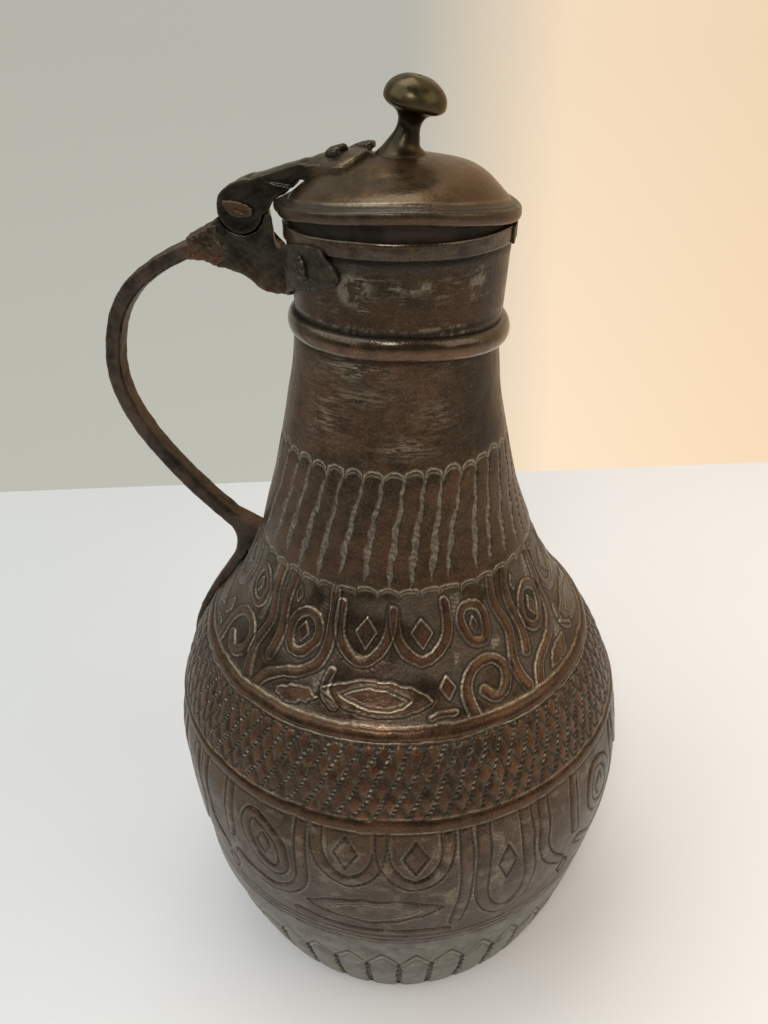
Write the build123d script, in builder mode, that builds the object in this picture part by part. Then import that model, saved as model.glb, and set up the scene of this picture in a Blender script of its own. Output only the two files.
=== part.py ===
from build123d import *
import math
import os

os.makedirs("parts", exist_ok=True)

# Lidded copper ewer, in millimetres, +Z up.
# The origin is the centre of the base, and the handle and hinge stand towards -X.

# Body wall
foot_radius = 89.5
belly_radius = 115.0
belly_height = 118.0
neck_radius = 42.3
neck_seam_height = 336.3
sheet = 1.4
braze_gap = 0.1
spare = 8.0

# Shape of the wall, as shares of the way from foot to belly and from belly to neck (height, radius)
lower_shape = [(0.21, 0.37), (0.65, 0.865)]
shoulder_shape = [(0.156, 0.911), (0.284, 0.732), (0.399, 0.484), (0.513, 0.306),
                  (0.632, 0.196), (0.751, 0.113), (0.865, 0.042), (0.960, 0.006)]

# Raised plain bands round the body
band_proud = 0.9
upper_band_height = 186.0
upper_band_width = 5.2
lower_band_height = 150.2
lower_band_width = 5.6

# Base disc
base_sheet = 1.6
base_kick = 3.0
base_land = 12.0
base_upstand = 6.0

# Neck collar, neck ring and rim band
ring_half_height = 4.7
ring_proud = 3.6
mouth_radius = 44.6
rim_height = 374.5
rim_band_width = 6.0
rim_band_sheet = 1.0
lap_arc = 9.0
lap_azimuth = -10.0

# Lid
lid_reveal = 1.7
edge_half_height = 3.3
edge_proud = 4.7
dome_foot_radius = 42.7
dome_rise = 15.4
lid_sheet = 1.2
edge_wire_radius = 1.3
flange_depth = 8.5
flange_sheet = 1.0
flange_taper = 0.9
seat_gap = 0.3

# Finial
finial_tilt = 14.0
finial_offset = 1.5
flare_radius = 9.2
stem_radius = 4.4
stem_height = 8.6
head_radius = 11.9
head_underside = 15.7
head_height = 26.6
tenon_radius = 3.0
rove_radius = 7.0
rove_sheet = 1.2

# Hinge
hinge_reach = 62.7
hinge_height = 376.3
eye_radius = 9.7
eye_gap = 0.4
pin_radius = 2.5
pin_clearance = 0.05
lug_width = 6.0
cheek_width = 3.7
side_gap = 0.3
pin_head_length = 11.6
pin_head_width = 6.0
pin_head_thickness = 1.3
lid_opening = 110.0

# Hinge strap and its leaf on the dome
leaf_sheet = 2.0
leaf_tip = 9.8
leaf_half_width = 13.0
leaf_root = 37.5
strap_waist = 4.6
strap_rivet_radii = [22.8, 14.3]
strap_rivet_shank = 1.9
strap_rivet_head = 3.9
strap_rivet_dome = 2.4

# Bracket on the neck
plate_sheet = 2.6
plate_half_arc = 66.5
plate_end_slant = 14.0
plate_rise = 30.0
horn_face = 48.7
bracket_end = 75.0
bracket_end_bottom = 352.7
bracket_end_top = 368.3
arch_mid_reach = 64.0
arch_mid_height = 348.9
arch_start_reach = 54.5
slot_bottom = 362.0
rivet_shank = 1.6
rivet_clearance = 0.05
rivet_gap = 0.15
peen_height = 1.3
plate_rivet_head = 2.9
plate_rivet_dome = 1.5
plate_rivets = [(49.0, 362.0)]

# Handle
handle_width = 10.0
handle_thickness = 7.0
handle_edge = 2.0
handle_top_height = 360.4
handle_foot_height = 227.0
handle_stand = 13.5
handle_reach = 52.5
handle_shape = [(0.050, 0.430), (0.121, 0.700), (0.216, 0.895), (0.332, 0.995), (0.460, 1.015),
                (0.590, 0.918), (0.710, 0.735), (0.818, 0.505), (0.918, 0.242)]
tail_top_height = 208.0
tail_end_height = 152.0
tail_thickness = 8.6
tail_end_thickness = 3.0
tail_rivet_heights = [200.0, 170.0]
tail_rivet_radius = 2.0
tail_rivet_head = 3.6
tail_rivet_stand = 0.45
tenon_length = 9.0
tenon_height = 4.4
cross_pin_radius = 1.6
ferrule_length = 12.5
ferrule_wall = 1.5

# Places that follow from the sizes above
seam_height = upper_band_height - upper_band_width / 2
top_of_wall = neck_seam_height - braze_gap / 2
collar_foot = neck_seam_height + braze_gap / 2
mouth_inner_radius = mouth_radius - sheet
band_outer_radius = mouth_radius + braze_gap + rim_band_sheet
band_foot = rim_height - rim_band_width
edge_bottom = rim_height + lid_reveal
edge_middle = edge_bottom + edge_half_height
dome_foot = edge_middle + edge_half_height
apex = dome_foot + dome_rise
dome_sphere = (dome_foot_radius ** 2 + dome_rise ** 2) / (2 * dome_rise)
dome_centre = apex - dome_sphere
fork_half_width = lug_width / 2 + side_gap + cheek_width
bracket_half_width = fork_half_width
hinge_point = (-hinge_reach, 0, hinge_height)
flange_radius = mouth_inner_radius - seat_gap
far = 4 * belly_radius


def share(low, high, part):
    """The value a share of the way from low to high."""
    return low + (high - low) * part


def outline_points():
    """Points of the wall's outer face, from the foot to the neck seam."""
    points = [(foot_radius, 0)]
    for height, radius in lower_shape:
        points.append((share(foot_radius, belly_radius, radius), belly_height * height))
    points.append((belly_radius, belly_height))
    for height, radius in shoulder_shape:
        points.append((share(neck_radius, belly_radius, radius), share(belly_height, top_of_wall, height)))
    points.append((neck_radius, top_of_wall))
    return points


with BuildLine(Plane.XZ) as wall_lines:
    outline = Spline(*outline_points(), tangents=[(0.5, 1), (0, 1)])


def wall_share(height):
    """How far along the outline a height lies."""
    low, high = 0.0, 1.0
    for _ in range(40):
        middle = (low + high) / 2
        if outline.position_at(middle).Z < height:
            low = middle
        else:
            high = middle
    return low


def wall_radius(height):
    """Outer radius of the wall at a height."""
    return outline.position_at(wall_share(height)).X


def wall_plane(height, azimuth_sign=-1):
    """Plane on the wall towards -X at a height, with its normal pointing out of the wall."""
    tangent = outline.tangent_at(wall_share(height))
    normal = Vector(azimuth_sign * tangent.Z, 0, -tangent.X)
    place = Vector(azimuth_sign * wall_radius(height), 0, height)
    return Plane(origin=place, x_dir=(0, 1, 0), z_dir=normal)


def collar_radius(height):
    """Outer radius of the neck collar at a height below the rim band."""
    part = (height - collar_foot) / (band_foot - collar_foot)
    return share(neck_radius, mouth_radius, part)


def moved_outline(distance):
    """Points of the wall's outline, moved outwards by a distance."""
    points = []
    steps = 18
    for step in range(steps + 1):
        place = outline.position_at(step / steps)
        along = outline.tangent_at(step / steps)
        points.append((place.X + along.Z * distance, place.Z - along.X * distance))
    return points


def body_core(distance):
    """Solid inside the wall's outer face, moved outwards by a distance and longer at both ends."""
    points = moved_outline(distance)
    foot, head = points[0], points[-1]
    with BuildPart() as core:
        with BuildSketch(Plane.XZ):
            with BuildLine():
                Spline(*points)
                Polyline(head, (head[0], top_of_wall + spare), (0, top_of_wall + spare), (0, -spare),
                         (foot[0], -spare), foot)
            make_face()
        revolve(axis=Axis.Z)
    return core.part


def collar_core(distance):
    """Solid inside the collar's and the rim band's outer faces, moved outwards by a distance."""
    with BuildPart() as core:
        with BuildSketch(Plane.XZ):
            with BuildLine():
                Polyline((0, collar_foot), (neck_radius + distance, collar_foot),
                         (mouth_radius + distance, band_foot - distance),
                         (band_outer_radius + distance, band_foot - distance),
                         (band_outer_radius + distance, rim_height), (0, rim_height), close=True)
            make_face()
        revolve(axis=Axis.Z)
    return core.part


def dome_core(distance):
    """Solid under the lid's dome, with its face moved outwards by a distance."""
    radius = dome_sphere + distance
    turn = math.asin((dome_foot_radius + 1.5) / dome_sphere)
    with BuildPart() as core:
        with BuildSketch(Plane.XZ):
            with BuildLine():
                edge = (radius * math.sin(turn), dome_centre + radius * math.cos(turn))
                middle = (radius * math.sin(turn / 2), dome_centre + radius * math.cos(turn / 2))
                ThreePointArc((0, dome_centre + radius), middle, edge)
                Polyline(edge, (edge[0], dome_centre - 1), (0, dome_centre - 1), (0, dome_centre + radius))
            make_face()
        revolve(axis=Axis.Z)
    return core.part


def dome_plane(reach):
    """Plane on the dome at a distance from the axis towards -X, with its normal pointing outwards."""
    height = math.sqrt(dome_sphere ** 2 - reach ** 2)
    return Plane(origin=(-reach, 0, dome_centre + height), x_dir=(0, 1, 0), z_dir=(-reach, 0, height))


def plate_plane(azimuth, height):
    """Plane on the collar at an azimuth off -X, with its normal pointing outwards."""
    turn = math.radians(180 + azimuth)
    outwards = Vector(math.cos(turn), math.sin(turn), 0)
    slope = (mouth_radius - neck_radius) / (band_foot - collar_foot)
    place = outwards * collar_radius(height) + Vector(0, 0, height)
    return Plane(origin=place, x_dir=(-math.sin(turn), math.cos(turn), 0), z_dir=outwards - Vector(0, 0, slope))


def band_ring(height, width, extra=0.0):
    """Raised band round the wall, rounded in section and thickened by an extra."""
    low, high = height - width / 2 - extra, height + width / 2 + extra
    with BuildPart() as ring:
        with BuildSketch(Plane.XZ):
            with BuildLine():
                foot = (wall_radius(low) - sheet / 2, low)
                head = (wall_radius(high) - sheet / 2, high)
                lower = (wall_radius(low) + band_proud * 0.3 + extra, low)
                upper = (wall_radius(high) + band_proud * 0.3 + extra, high)
                crest = (wall_radius(height) + band_proud + extra, height)
                Line(foot, lower)
                ThreePointArc(lower, crest, upper)
                Line(upper, head)
                Line(head, foot)
            make_face()
        revolve(axis=Axis.Z)
    return ring.part


def holes_through(planes, radius):
    """Round holes through whatever stands at some planes, both ways along their normals."""
    with BuildPart() as holes:
        for plane in planes:
            with BuildSketch(plane.offset(-12)):
                Circle(radius)
            extrude(amount=24)
    return holes.part


def tail_proud(height):
    """How far the handle's tail stands off the wall at a height."""
    return share(tail_thickness, tail_end_thickness,
                 (tail_top_height - height) / (tail_top_height - tail_end_height))


inner_core = body_core(-sheet)
fit_core = body_core(-sheet - braze_gap)
skin_core = body_core(0)
outer_core = body_core(braze_gap)
upper_band = band_ring(upper_band_height, upper_band_width)
lower_band = band_ring(lower_band_height, lower_band_width)
band_room = [band_ring(upper_band_height, upper_band_width, braze_gap),
             band_ring(lower_band_height, lower_band_width, braze_gap)]
tail_holes = holes_through([wall_plane(height) for height in tail_rivet_heights],
                           tail_rivet_radius + rivet_clearance)
plate_planes = [plate_plane(side * azimuth, height) for side in (-1, 1) for azimuth, height in plate_rivets]
plate_holes = holes_through(plate_planes, rivet_shank + rivet_clearance)
strap_planes = [dome_plane(reach) for reach in strap_rivet_radii]
strap_holes = holes_through(strap_planes, strap_rivet_shank + rivet_clearance)
body_rim = collar_core(braze_gap)
dome_skin = dome_core(braze_gap)

# Tail rivets, one group: low heads outside, peened heads inside the body
with BuildPart() as tail_rivets:
    for rivet_height in tail_rivet_heights:
        seat = wall_plane(rivet_height)
        with BuildSketch(seat.offset(-sheet - 2.0)):
            Circle(tail_rivet_radius)
        extrude(amount=sheet + 2.0 + tail_proud(rivet_height) + tail_rivet_stand)
        with BuildSketch(seat.offset(-sheet - 0.3)):
            Circle(tail_rivet_head)
        extrude(amount=-1.4)
        with BuildSketch(seat.offset(tail_proud(rivet_height) + tail_rivet_stand)):
            Circle(tail_rivet_head * 0.85)
        extrude(amount=0.8)
tail_rivets.part.label = "tail_rivets"
export_step(tail_rivets.part, "parts/tail_rivets.step")

# Body: the upper and lower sheets, split at the seam under the upper band
with BuildPart() as body_wall:
    add(skin_core)
    add(upper_band)
    add(lower_band)
    add(inner_core, mode=Mode.SUBTRACT)
    split(bisect_by=Plane.XY, keep=Keep.TOP)
    split(bisect_by=Plane.XY.offset(top_of_wall), keep=Keep.BOTTOM)
    add(tail_holes, mode=Mode.SUBTRACT)

with BuildPart() as lower_body:
    add(body_wall.part)
    split(bisect_by=Plane.XY.offset(seam_height - braze_gap / 2), keep=Keep.BOTTOM)
lower_body.part.label = "lower_body"
export_step(lower_body.part, "parts/lower_body.step")

with BuildPart() as upper_body:
    add(body_wall.part)
    split(bisect_by=Plane.XY.offset(seam_height + braze_gap / 2), keep=Keep.TOP)
upper_body.part.label = "upper_body"
export_step(upper_body.part, "parts/upper_body.step")

# Base disc: a dished disc with an upstand brazed inside the foot of the wall
with BuildPart() as base_disc:
    with BuildSketch(Plane.XZ):
        with BuildLine():
            land = foot_radius - base_land
            Polyline((0, base_kick), (land - 10, base_kick), (land, 0), (foot_radius + 20, 0),
                     (foot_radius + 20, base_upstand), (foot_radius - 2.2 * base_sheet, base_upstand),
                     (foot_radius - 3.4 * base_sheet, base_sheet), (land, base_sheet),
                     (land - 10, base_kick + base_sheet), (0, base_kick + base_sheet), close=True)
        make_face()
    revolve(axis=Axis.Z)
    add(fit_core, mode=Mode.INTERSECT)
base_disc.part.label = "base_disc"
export_step(base_disc.part, "parts/base_disc.step")

# Neck collar: the short flared tube from the neck seam to the rim
with BuildPart() as neck_collar:
    with BuildSketch(Plane.XZ):
        with BuildLine():
            Polyline((neck_radius, collar_foot), (mouth_radius, band_foot), (mouth_radius, rim_height),
                     (mouth_inner_radius, rim_height), (mouth_inner_radius, band_foot),
                     (neck_radius - sheet, collar_foot), close=True)
        make_face()
    revolve(axis=Axis.Z)
    add(plate_holes, mode=Mode.SUBTRACT)
neck_collar.part.label = "neck_collar"
export_step(neck_collar.part, "parts/neck_collar.step")

# Neck ring: the half-round bead that covers the neck seam
with BuildPart() as neck_ring:
    ring_foot = neck_seam_height - ring_half_height
    ring_head = neck_seam_height + ring_half_height
    ring_bore = max(wall_radius(ring_foot), collar_radius(ring_head)) + braze_gap
    with BuildSketch(Plane.XZ):
        with BuildLine():
            ThreePointArc((ring_bore, ring_foot), (neck_radius + ring_proud, neck_seam_height),
                          (ring_bore, ring_head))
            Line((ring_bore, ring_head), (ring_bore, ring_foot))
        make_face()
    revolve(axis=Axis.Z)
neck_ring.part.label = "neck_ring"
export_step(neck_ring.part, "parts/neck_ring.step")

# Rim band: a strip round the mouth whose ends are lapped
with BuildPart() as rim_band:
    with BuildSketch(Plane.XZ):
        with Locations((band_outer_radius - rim_band_sheet / 2, rim_height - rim_band_width / 2)):
            Rectangle(rim_band_sheet, rim_band_width)
    revolve(axis=Axis.Z)
    lap_turn = math.degrees(lap_arc / band_outer_radius)
    with BuildSketch(Plane.XZ.rotated((0, 0, lap_azimuth))):
        with Locations((band_outer_radius + rim_band_sheet * 0.4, rim_height - rim_band_width / 2)):
            Rectangle(rim_band_sheet, rim_band_width * 0.94)
    revolve(axis=Axis.Z, revolution_arc=lap_turn)
rim_band.part.label = "rim_band"
export_step(rim_band.part, "parts/rim_band.step")


def head_rivet(plane, thickness, shank, head, dome, inner_head):
    """Domed rivet through a stack. The plane is the stack's inner face, with its normal outwards."""
    head_foot = thickness + rivet_gap
    ball = (head ** 2 + dome ** 2) / (2 * dome)
    turn = math.asin(head / ball) / 2
    shoulder = (ball * math.sin(turn), head_foot + dome - ball * (1 - math.cos(turn)))
    with BuildPart() as rivet:
        with BuildSketch(Plane(origin=plane.origin, x_dir=plane.x_dir, z_dir=plane.y_dir * -1)):
            with BuildLine():
                ThreePointArc((head, head_foot), shoulder, (0, head_foot + dome))
                Polyline((0, head_foot + dome), (0, -rivet_gap - peen_height),
                         (inner_head * 0.75, -rivet_gap - peen_height), (inner_head, -rivet_gap),
                         (shank, -rivet_gap), (shank, head_foot), (head, head_foot))
            make_face()
        revolve(axis=Axis(plane.origin, plane.z_dir))
    return rivet.part


def plate_thickness(height):
    """Thickness of the bracket's neck plate at a height."""
    return share(plate_sheet, band_outer_radius + 0.9 * plate_sheet - mouth_radius,
                 (height - plate_foot) / (band_foot - plate_foot))


plate_foot = neck_seam_height + ring_half_height + 0.5
plate_head = rim_height - 1.8
plate_rivet_group = [head_rivet(plane.offset(-sheet), sheet + plate_thickness(plane.origin.Z), rivet_shank,
                                plate_rivet_head, plate_rivet_dome, 2.6) for plane in plate_planes]

# Bracket rivets, one group
with BuildPart() as bracket_rivets:
    add(plate_rivet_group)
bracket_rivets.part.label = "bracket_rivets"
export_step(bracket_rivets.part, "parts/bracket_rivets.step")


def plate_end(side):
    """Slanted plane that ends a wing of the neck plate."""
    turn = math.radians(180 + side * plate_half_arc)
    slant = math.radians(plate_end_slant)
    along = Vector(-math.sin(turn), math.cos(turn), 0) * side
    normal = along * math.cos(slant) + Vector(0, 0, 1) * math.sin(slant)
    centre = Vector(math.cos(turn), math.sin(turn), 0) * mouth_radius + Vector(0, 0, band_foot - 12)
    return Plane(origin=centre, z_dir=normal)


# Bracket: one casting with a neck plate, an arched web, a hinge lug and a socket for the handle
with BuildPart() as bracket:
    with BuildSketch(Plane.XZ):
        with BuildLine():
            Polyline((neck_radius - 2, plate_foot), (collar_radius(plate_foot) + plate_sheet, plate_foot),
                     (band_outer_radius + 0.9 * plate_sheet, band_foot),
                     (band_outer_radius + 0.9 * plate_sheet, plate_head),
                     (neck_radius - 2, plate_head), close=True)
        make_face()
    revolve(axis=Axis.Z)
    for side in (-1, 1):
        split(bisect_by=plate_end(side), keep=Keep.BOTTOM)
    rise = math.radians(plate_rise)
    split(bisect_by=Plane(origin=(-neck_radius - plate_sheet, 0, plate_foot), z_dir=(-math.sin(rise), 0, math.cos(rise))),
          keep=Keep.TOP)
    with BuildSketch(Plane.XZ.offset(-bracket_half_width - 2)):
        with BuildLine():
            Polyline((-far, slot_bottom), (0, slot_bottom), (0, rim_height + 1), (-far, rim_height + 1), close=True)
        make_face()
    extrude(amount=2 * bracket_half_width + 4, mode=Mode.SUBTRACT)
    with BuildSketch(Plane.XZ.offset(-bracket_half_width)):
        with BuildLine():
            arch_foot = (-arch_start_reach, plate_foot)
            arch_head = (-bracket_end, bracket_end_bottom)
            ThreePointArc(arch_foot, (-arch_mid_reach, arch_mid_height), arch_head)
            Polyline(arch_head, (-bracket_end, bracket_end_top), (-hinge_reach - eye_radius + 0.6, hinge_height - 6.2),
                     (-hinge_reach - eye_radius + 3, hinge_height), (-horn_face, hinge_height - 1),
                     (-horn_face, slot_bottom), (-neck_radius + 2, slot_bottom), (-neck_radius + 2, plate_foot),
                     arch_foot)
        make_face()
    extrude(amount=2 * bracket_half_width)
    for side in (-1, 1):
        with BuildSketch(Plane.XZ.offset(-side * (lug_width / 2 + far / 2))):
            with Locations((-hinge_reach, hinge_height)):
                Circle(eye_radius + eye_gap)
        extrude(amount=far / 2, both=True, mode=Mode.SUBTRACT)
    with BuildSketch(Plane.XZ.offset(-lug_width / 2)):
        with Locations((-hinge_reach, hinge_height)):
            Circle(eye_radius - eye_gap)
    extrude(amount=lug_width)
    with BuildSketch(Plane.XZ.offset(-lug_width)):
        with Locations((-hinge_reach, hinge_height)):
            Circle(pin_radius + pin_clearance)
    extrude(amount=2 * lug_width, mode=Mode.SUBTRACT)
    with BuildSketch(Plane.YZ.offset(-bracket_end)):
        with Locations((0, handle_top_height)):
            Rectangle(handle_width - 2 * handle_edge + 2 * braze_gap, tenon_height + 2 * braze_gap)
    extrude(amount=tenon_length + braze_gap, mode=Mode.SUBTRACT)
    with BuildSketch(Plane.XZ.offset(-bracket_half_width)):
        with Locations((-bracket_end + tenon_length / 2, handle_top_height)):
            Circle(cross_pin_radius + 0.05)
    extrude(amount=2 * bracket_half_width, mode=Mode.SUBTRACT)
    add(body_rim, mode=Mode.SUBTRACT)
    add(plate_holes, mode=Mode.SUBTRACT)
bracket.part.label = "bracket"
export_step(bracket.part, "parts/bracket.step")

# Hinge pin: a rod with a flattened head in front and a round peened head behind
with BuildPart() as hinge_pin:
    pin_reach = fork_half_width + side_gap
    with BuildSketch(Plane.XZ.offset(-pin_reach)):
        with Locations((-hinge_reach, hinge_height)):
            Circle(pin_radius)
    extrude(amount=2 * pin_reach)
    with BuildSketch(Plane.XZ.offset(pin_reach)):
        with Locations(Location((-hinge_reach, hinge_height, 0), (0, 0, -12))):
            Ellipse(pin_head_length / 2, pin_head_width / 2)
    extrude(amount=pin_head_thickness)
    with BuildSketch(Plane.XZ.offset(-pin_reach)):
        with Locations((-hinge_reach, hinge_height)):
            Circle(pin_radius * 1.7)
    extrude(amount=-pin_head_thickness, taper=25)
hinge_pin.part.label = "hinge_pin"
export_step(hinge_pin.part, "parts/hinge_pin.step")


def handle_line():
    """Points of the handle's centre line, from the bracket to the foot on the body."""
    start = (-bracket_end - braze_gap, handle_top_height)
    foot = (-(wall_radius(handle_foot_height) + handle_stand), handle_foot_height)
    points = [start]
    for down, out in handle_shape:
        chord = share(start[0], foot[0], down)
        points.append((chord - handle_reach * out, share(start[1], foot[1], down)))
    points.append(foot)
    return points


def handle_sides(half):
    """Points on the outer and inner faces of the handle's bar, half a thickness from its centre line."""
    with BuildLine() as path:
        centre = Spline(*handle_line(), tangents=[(-1, 0), (0.74, -0.67)])
    outer, inner = [], []
    steps = 12
    for step in range(steps + 1):
        place = centre.position_at(step / steps)
        along = centre.tangent_at(step / steps)
        outer.append((place.X + along.Y * half, place.Y - along.X * half))
        inner.append((place.X - along.Y * half, place.Y + along.X * half))
    return outer, inner


def handle_bar(extra):
    """Bar of the handle from the bracket to its foot, with its tail down the body."""
    outer, inner = handle_sides(handle_thickness / 2 + extra)
    tail = []
    tail_steps = 4
    for step in range(tail_steps + 1):
        height = share(tail_top_height, tail_end_height, step / tail_steps)
        plane = wall_plane(height)
        spot = plane.origin + plane.z_dir * (tail_proud(height) + extra)
        tail.append((spot.X, spot.Z))
    depth = wall_plane(tail_end_height).origin
    with BuildPart() as bar:
        with BuildSketch(Plane.XZ.offset(-handle_width / 2 - extra)):
            with BuildLine():
                top = Spline(*outer, tangents=[(-1, 0), (0.74, -0.67)])
                down = Spline(*tail)
                Spline(top @ 1, down @ 0, tangents=[top % 1, down % 0])
                under = Spline(*inner, tangents=[(-1, 0), (0.74, -0.67)])
                inside = -(wall_radius(handle_foot_height) - 6)
                Polyline(down @ 1, (depth.X + 3, tail_end_height - 1), (inside, handle_foot_height - 6), under @ 1)
                Line(under @ 0, top @ 0)
            make_face()
        extrude(amount=handle_width + 2 * extra)
    return bar.part


plain_bar = handle_bar(0)
bar_room = handle_bar(1.5 * braze_gap)

# Handle: one forged bar, with a tenon in the bracket and a tail that lies on the body
with BuildPart() as handle:
    add(plain_bar)
    fillet(handle.faces().filter_by(Axis.Y).edges().filter_by(GeomType.BSPLINE), radius=handle_edge)
    add(outer_core, mode=Mode.SUBTRACT)
    add(band_room, mode=Mode.SUBTRACT)
    with BuildSketch(Plane.YZ.offset(-bracket_end - 1)):
        with Locations((0, handle_top_height)):
            Rectangle(handle_width - 2 * handle_edge, tenon_height)
    extrude(amount=1 + tenon_length)
    with BuildSketch(Plane.XZ.offset(-bracket_half_width)):
        with Locations((-bracket_end + tenon_length / 2, handle_top_height)):
            Circle(cross_pin_radius + 0.05)
    extrude(amount=2 * bracket_half_width, mode=Mode.SUBTRACT)
    add(tail_holes, mode=Mode.SUBTRACT)
handle.part.label = "handle"
export_step(handle.part, "parts/handle.step")

# Cross pin that holds the handle's tenon in the bracket
with BuildPart() as cross_pin:
    with BuildSketch(Plane.XZ.offset(-bracket_half_width)):
        with Locations((-bracket_end + tenon_length / 2, handle_top_height)):
            Circle(cross_pin_radius)
    extrude(amount=2 * bracket_half_width)
cross_pin.part.label = "cross_pin"
export_step(cross_pin.part, "parts/cross_pin.step")

# Ferrule: the flared copper sleeve over the joint of handle and bracket
with BuildPart() as ferrule:
    wide = bracket_half_width * 2
    tall = bracket_end_top - bracket_end_bottom - 1
    ferrule_middle = (bracket_end_top + bracket_end_bottom) / 2
    with BuildSketch(Plane.YZ.offset(-bracket_end - braze_gap)):
        with Locations((0, ferrule_middle)):
            RectangleRounded(wide, tall, 2.5)
    with BuildSketch(Plane.YZ.offset(-bracket_end - ferrule_length)):
        with Locations((0, handle_top_height - 3)):
            RectangleRounded(handle_width + 2 * ferrule_wall, handle_thickness + 2.6 * ferrule_wall, 2.5)
    loft()
    add(bar_room, mode=Mode.SUBTRACT)
ferrule.part.label = "ferrule"
export_step(ferrule.part, "parts/ferrule.step")

# Lid dome: one sheet, domed in the middle and rolled over a wire at its edge
with BuildPart() as lid_dome:
    with BuildSketch(Plane.XZ):
        with BuildLine():
            inner_sphere = dome_sphere - lid_sheet
            lip = flange_radius + braze_gap
            foot_low = dome_centre + math.sqrt(inner_sphere ** 2 - lip ** 2)
            swing = math.asin(lip / dome_sphere) / 2
            outer_mid = (dome_sphere * math.sin(swing), dome_centre + dome_sphere * math.cos(swing))
            inner_mid = (inner_sphere * math.sin(swing), dome_centre + inner_sphere * math.cos(swing))
            diagonal = math.sqrt(0.5)
            roll = (dome_foot_radius, edge_middle)
            in_proud, in_half = edge_proud - lid_sheet, edge_half_height - lid_sheet
            ThreePointArc((0, apex), outer_mid, (dome_foot_radius, dome_foot))
            Spline((dome_foot_radius, dome_foot),
                   (roll[0] + edge_proud * diagonal, roll[1] + edge_half_height * diagonal),
                   (roll[0] + edge_proud, roll[1]),
                   (roll[0] + edge_proud * diagonal, roll[1] - edge_half_height * diagonal),
                   (lip, edge_bottom), tangents=[(1, 0), (-1, 0)])
            Line((lip, edge_bottom), (lip, edge_bottom + lid_sheet))
            Spline((lip, edge_bottom + lid_sheet),
                   (roll[0] + in_proud * diagonal, roll[1] - in_half * diagonal),
                   (roll[0] + in_proud, roll[1]),
                   (roll[0] + in_proud * diagonal, roll[1] + in_half * diagonal),
                   (lip, foot_low), tangents=[(1, 0), (-1, 0.25)])
            ThreePointArc((lip, foot_low), inner_mid, (0, apex - lid_sheet))
            Line((0, apex - lid_sheet), (0, apex))
        make_face()
    revolve(axis=Axis.Z)
    add(strap_holes, mode=Mode.SUBTRACT)
    with BuildSketch(Plane.XY.offset(dome_foot)):
        Circle(tenon_radius + 0.1)
    extrude(amount=dome_rise + 5, mode=Mode.SUBTRACT)
lid_dome.part.label = "lid_dome"
export_step(lid_dome.part, "parts/lid_dome.step")

# Edge wire: the wire that the lid's edge is rolled over
with BuildPart() as edge_wire:
    with BuildSketch(Plane.XZ):
        with Locations((flange_radius + braze_gap + 0.3 + edge_wire_radius, edge_middle)):
            Circle(edge_wire_radius)
    revolve(axis=Axis.Z)
edge_wire.part.label = "edge_wire"
export_step(edge_wire.part, "parts/edge_wire.step")

# Lid flange: the slightly tapered ring that seats in the mouth
with BuildPart() as lid_flange:
    flange_foot = rim_height - flange_depth
    flange_outer = flange_radius
    flange_top = dome_centre + math.sqrt((dome_sphere - lid_sheet) ** 2 - flange_outer ** 2) - braze_gap
    with BuildSketch(Plane.XZ):
        with BuildLine():
            Polyline((flange_outer - flange_taper, flange_foot), (flange_outer, rim_height),
                     (flange_outer, flange_top), (flange_outer - flange_sheet, flange_top),
                     (flange_outer - flange_sheet, rim_height),
                     (flange_outer - flange_taper - flange_sheet, flange_foot), close=True)
        make_face()
    revolve(axis=Axis.Z)
lid_flange.part.label = "lid_flange"
export_step(lid_flange.part, "parts/lid_flange.step")

# Finial: mushroom head, waisted stem and flared foot, leaning a little, with an upright tenon
lean = math.radians(finial_tilt)
lean_axis = (math.sin(lean), 0, math.cos(lean))
finial_foot = (finial_offset, 0, apex)
skirt_depth = 1.5 + flare_radius * math.tan(lean)
with BuildPart() as finial:
    with BuildSketch(Plane(origin=finial_foot, x_dir=(math.cos(lean), 0, -math.sin(lean)), z_dir=(0, -1, 0))):
        with BuildLine():
            skirt = (flare_radius, -skirt_depth)
            base = (flare_radius, 0.6)
            corner = (head_radius, head_underside + 2.4)
            Polyline((0, -skirt_depth), skirt, base)
            neck_curve = Spline(base, (stem_radius + 1.2, stem_height * 0.5), (stem_radius, stem_height),
                                (stem_radius + 1.6, head_underside - 2.2), (head_radius * 0.86, head_underside),
                                tangents=[(-1, 0.35), (1, 0.15)])
            Spline(neck_curve @ 1, corner, tangents=[(1, 0.15), (0.05, 1)])
            Spline(corner, (head_radius * 0.72, share(corner[1], head_height, 0.74)), (0, head_height),
                   tangents=[(0.05, 1), (-1, 0)])
            Line((0, head_height), (0, -skirt_depth))
        make_face()
    revolve(axis=Axis(finial_foot, lean_axis))
    add(dome_skin, mode=Mode.SUBTRACT)
    tenon_foot = apex - lid_sheet - 2 * braze_gap - rove_sheet
    with BuildSketch(Plane.XY.offset(tenon_foot)):
        Circle(tenon_radius)
    extrude(amount=apex - tenon_foot + 2)
    with BuildSketch(Plane.XY.offset(tenon_foot - braze_gap)):
        Circle(tenon_radius + 1.6)
    extrude(amount=-1.4, taper=20)
    with BuildSketch(Plane.XY.offset(tenon_foot - braze_gap)):
        Circle(tenon_radius)
    extrude(amount=braze_gap)
finial.part.label = "finial"
export_step(finial.part, "parts/finial.step")

dome_inside = dome_core(-lid_sheet - braze_gap)

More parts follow.
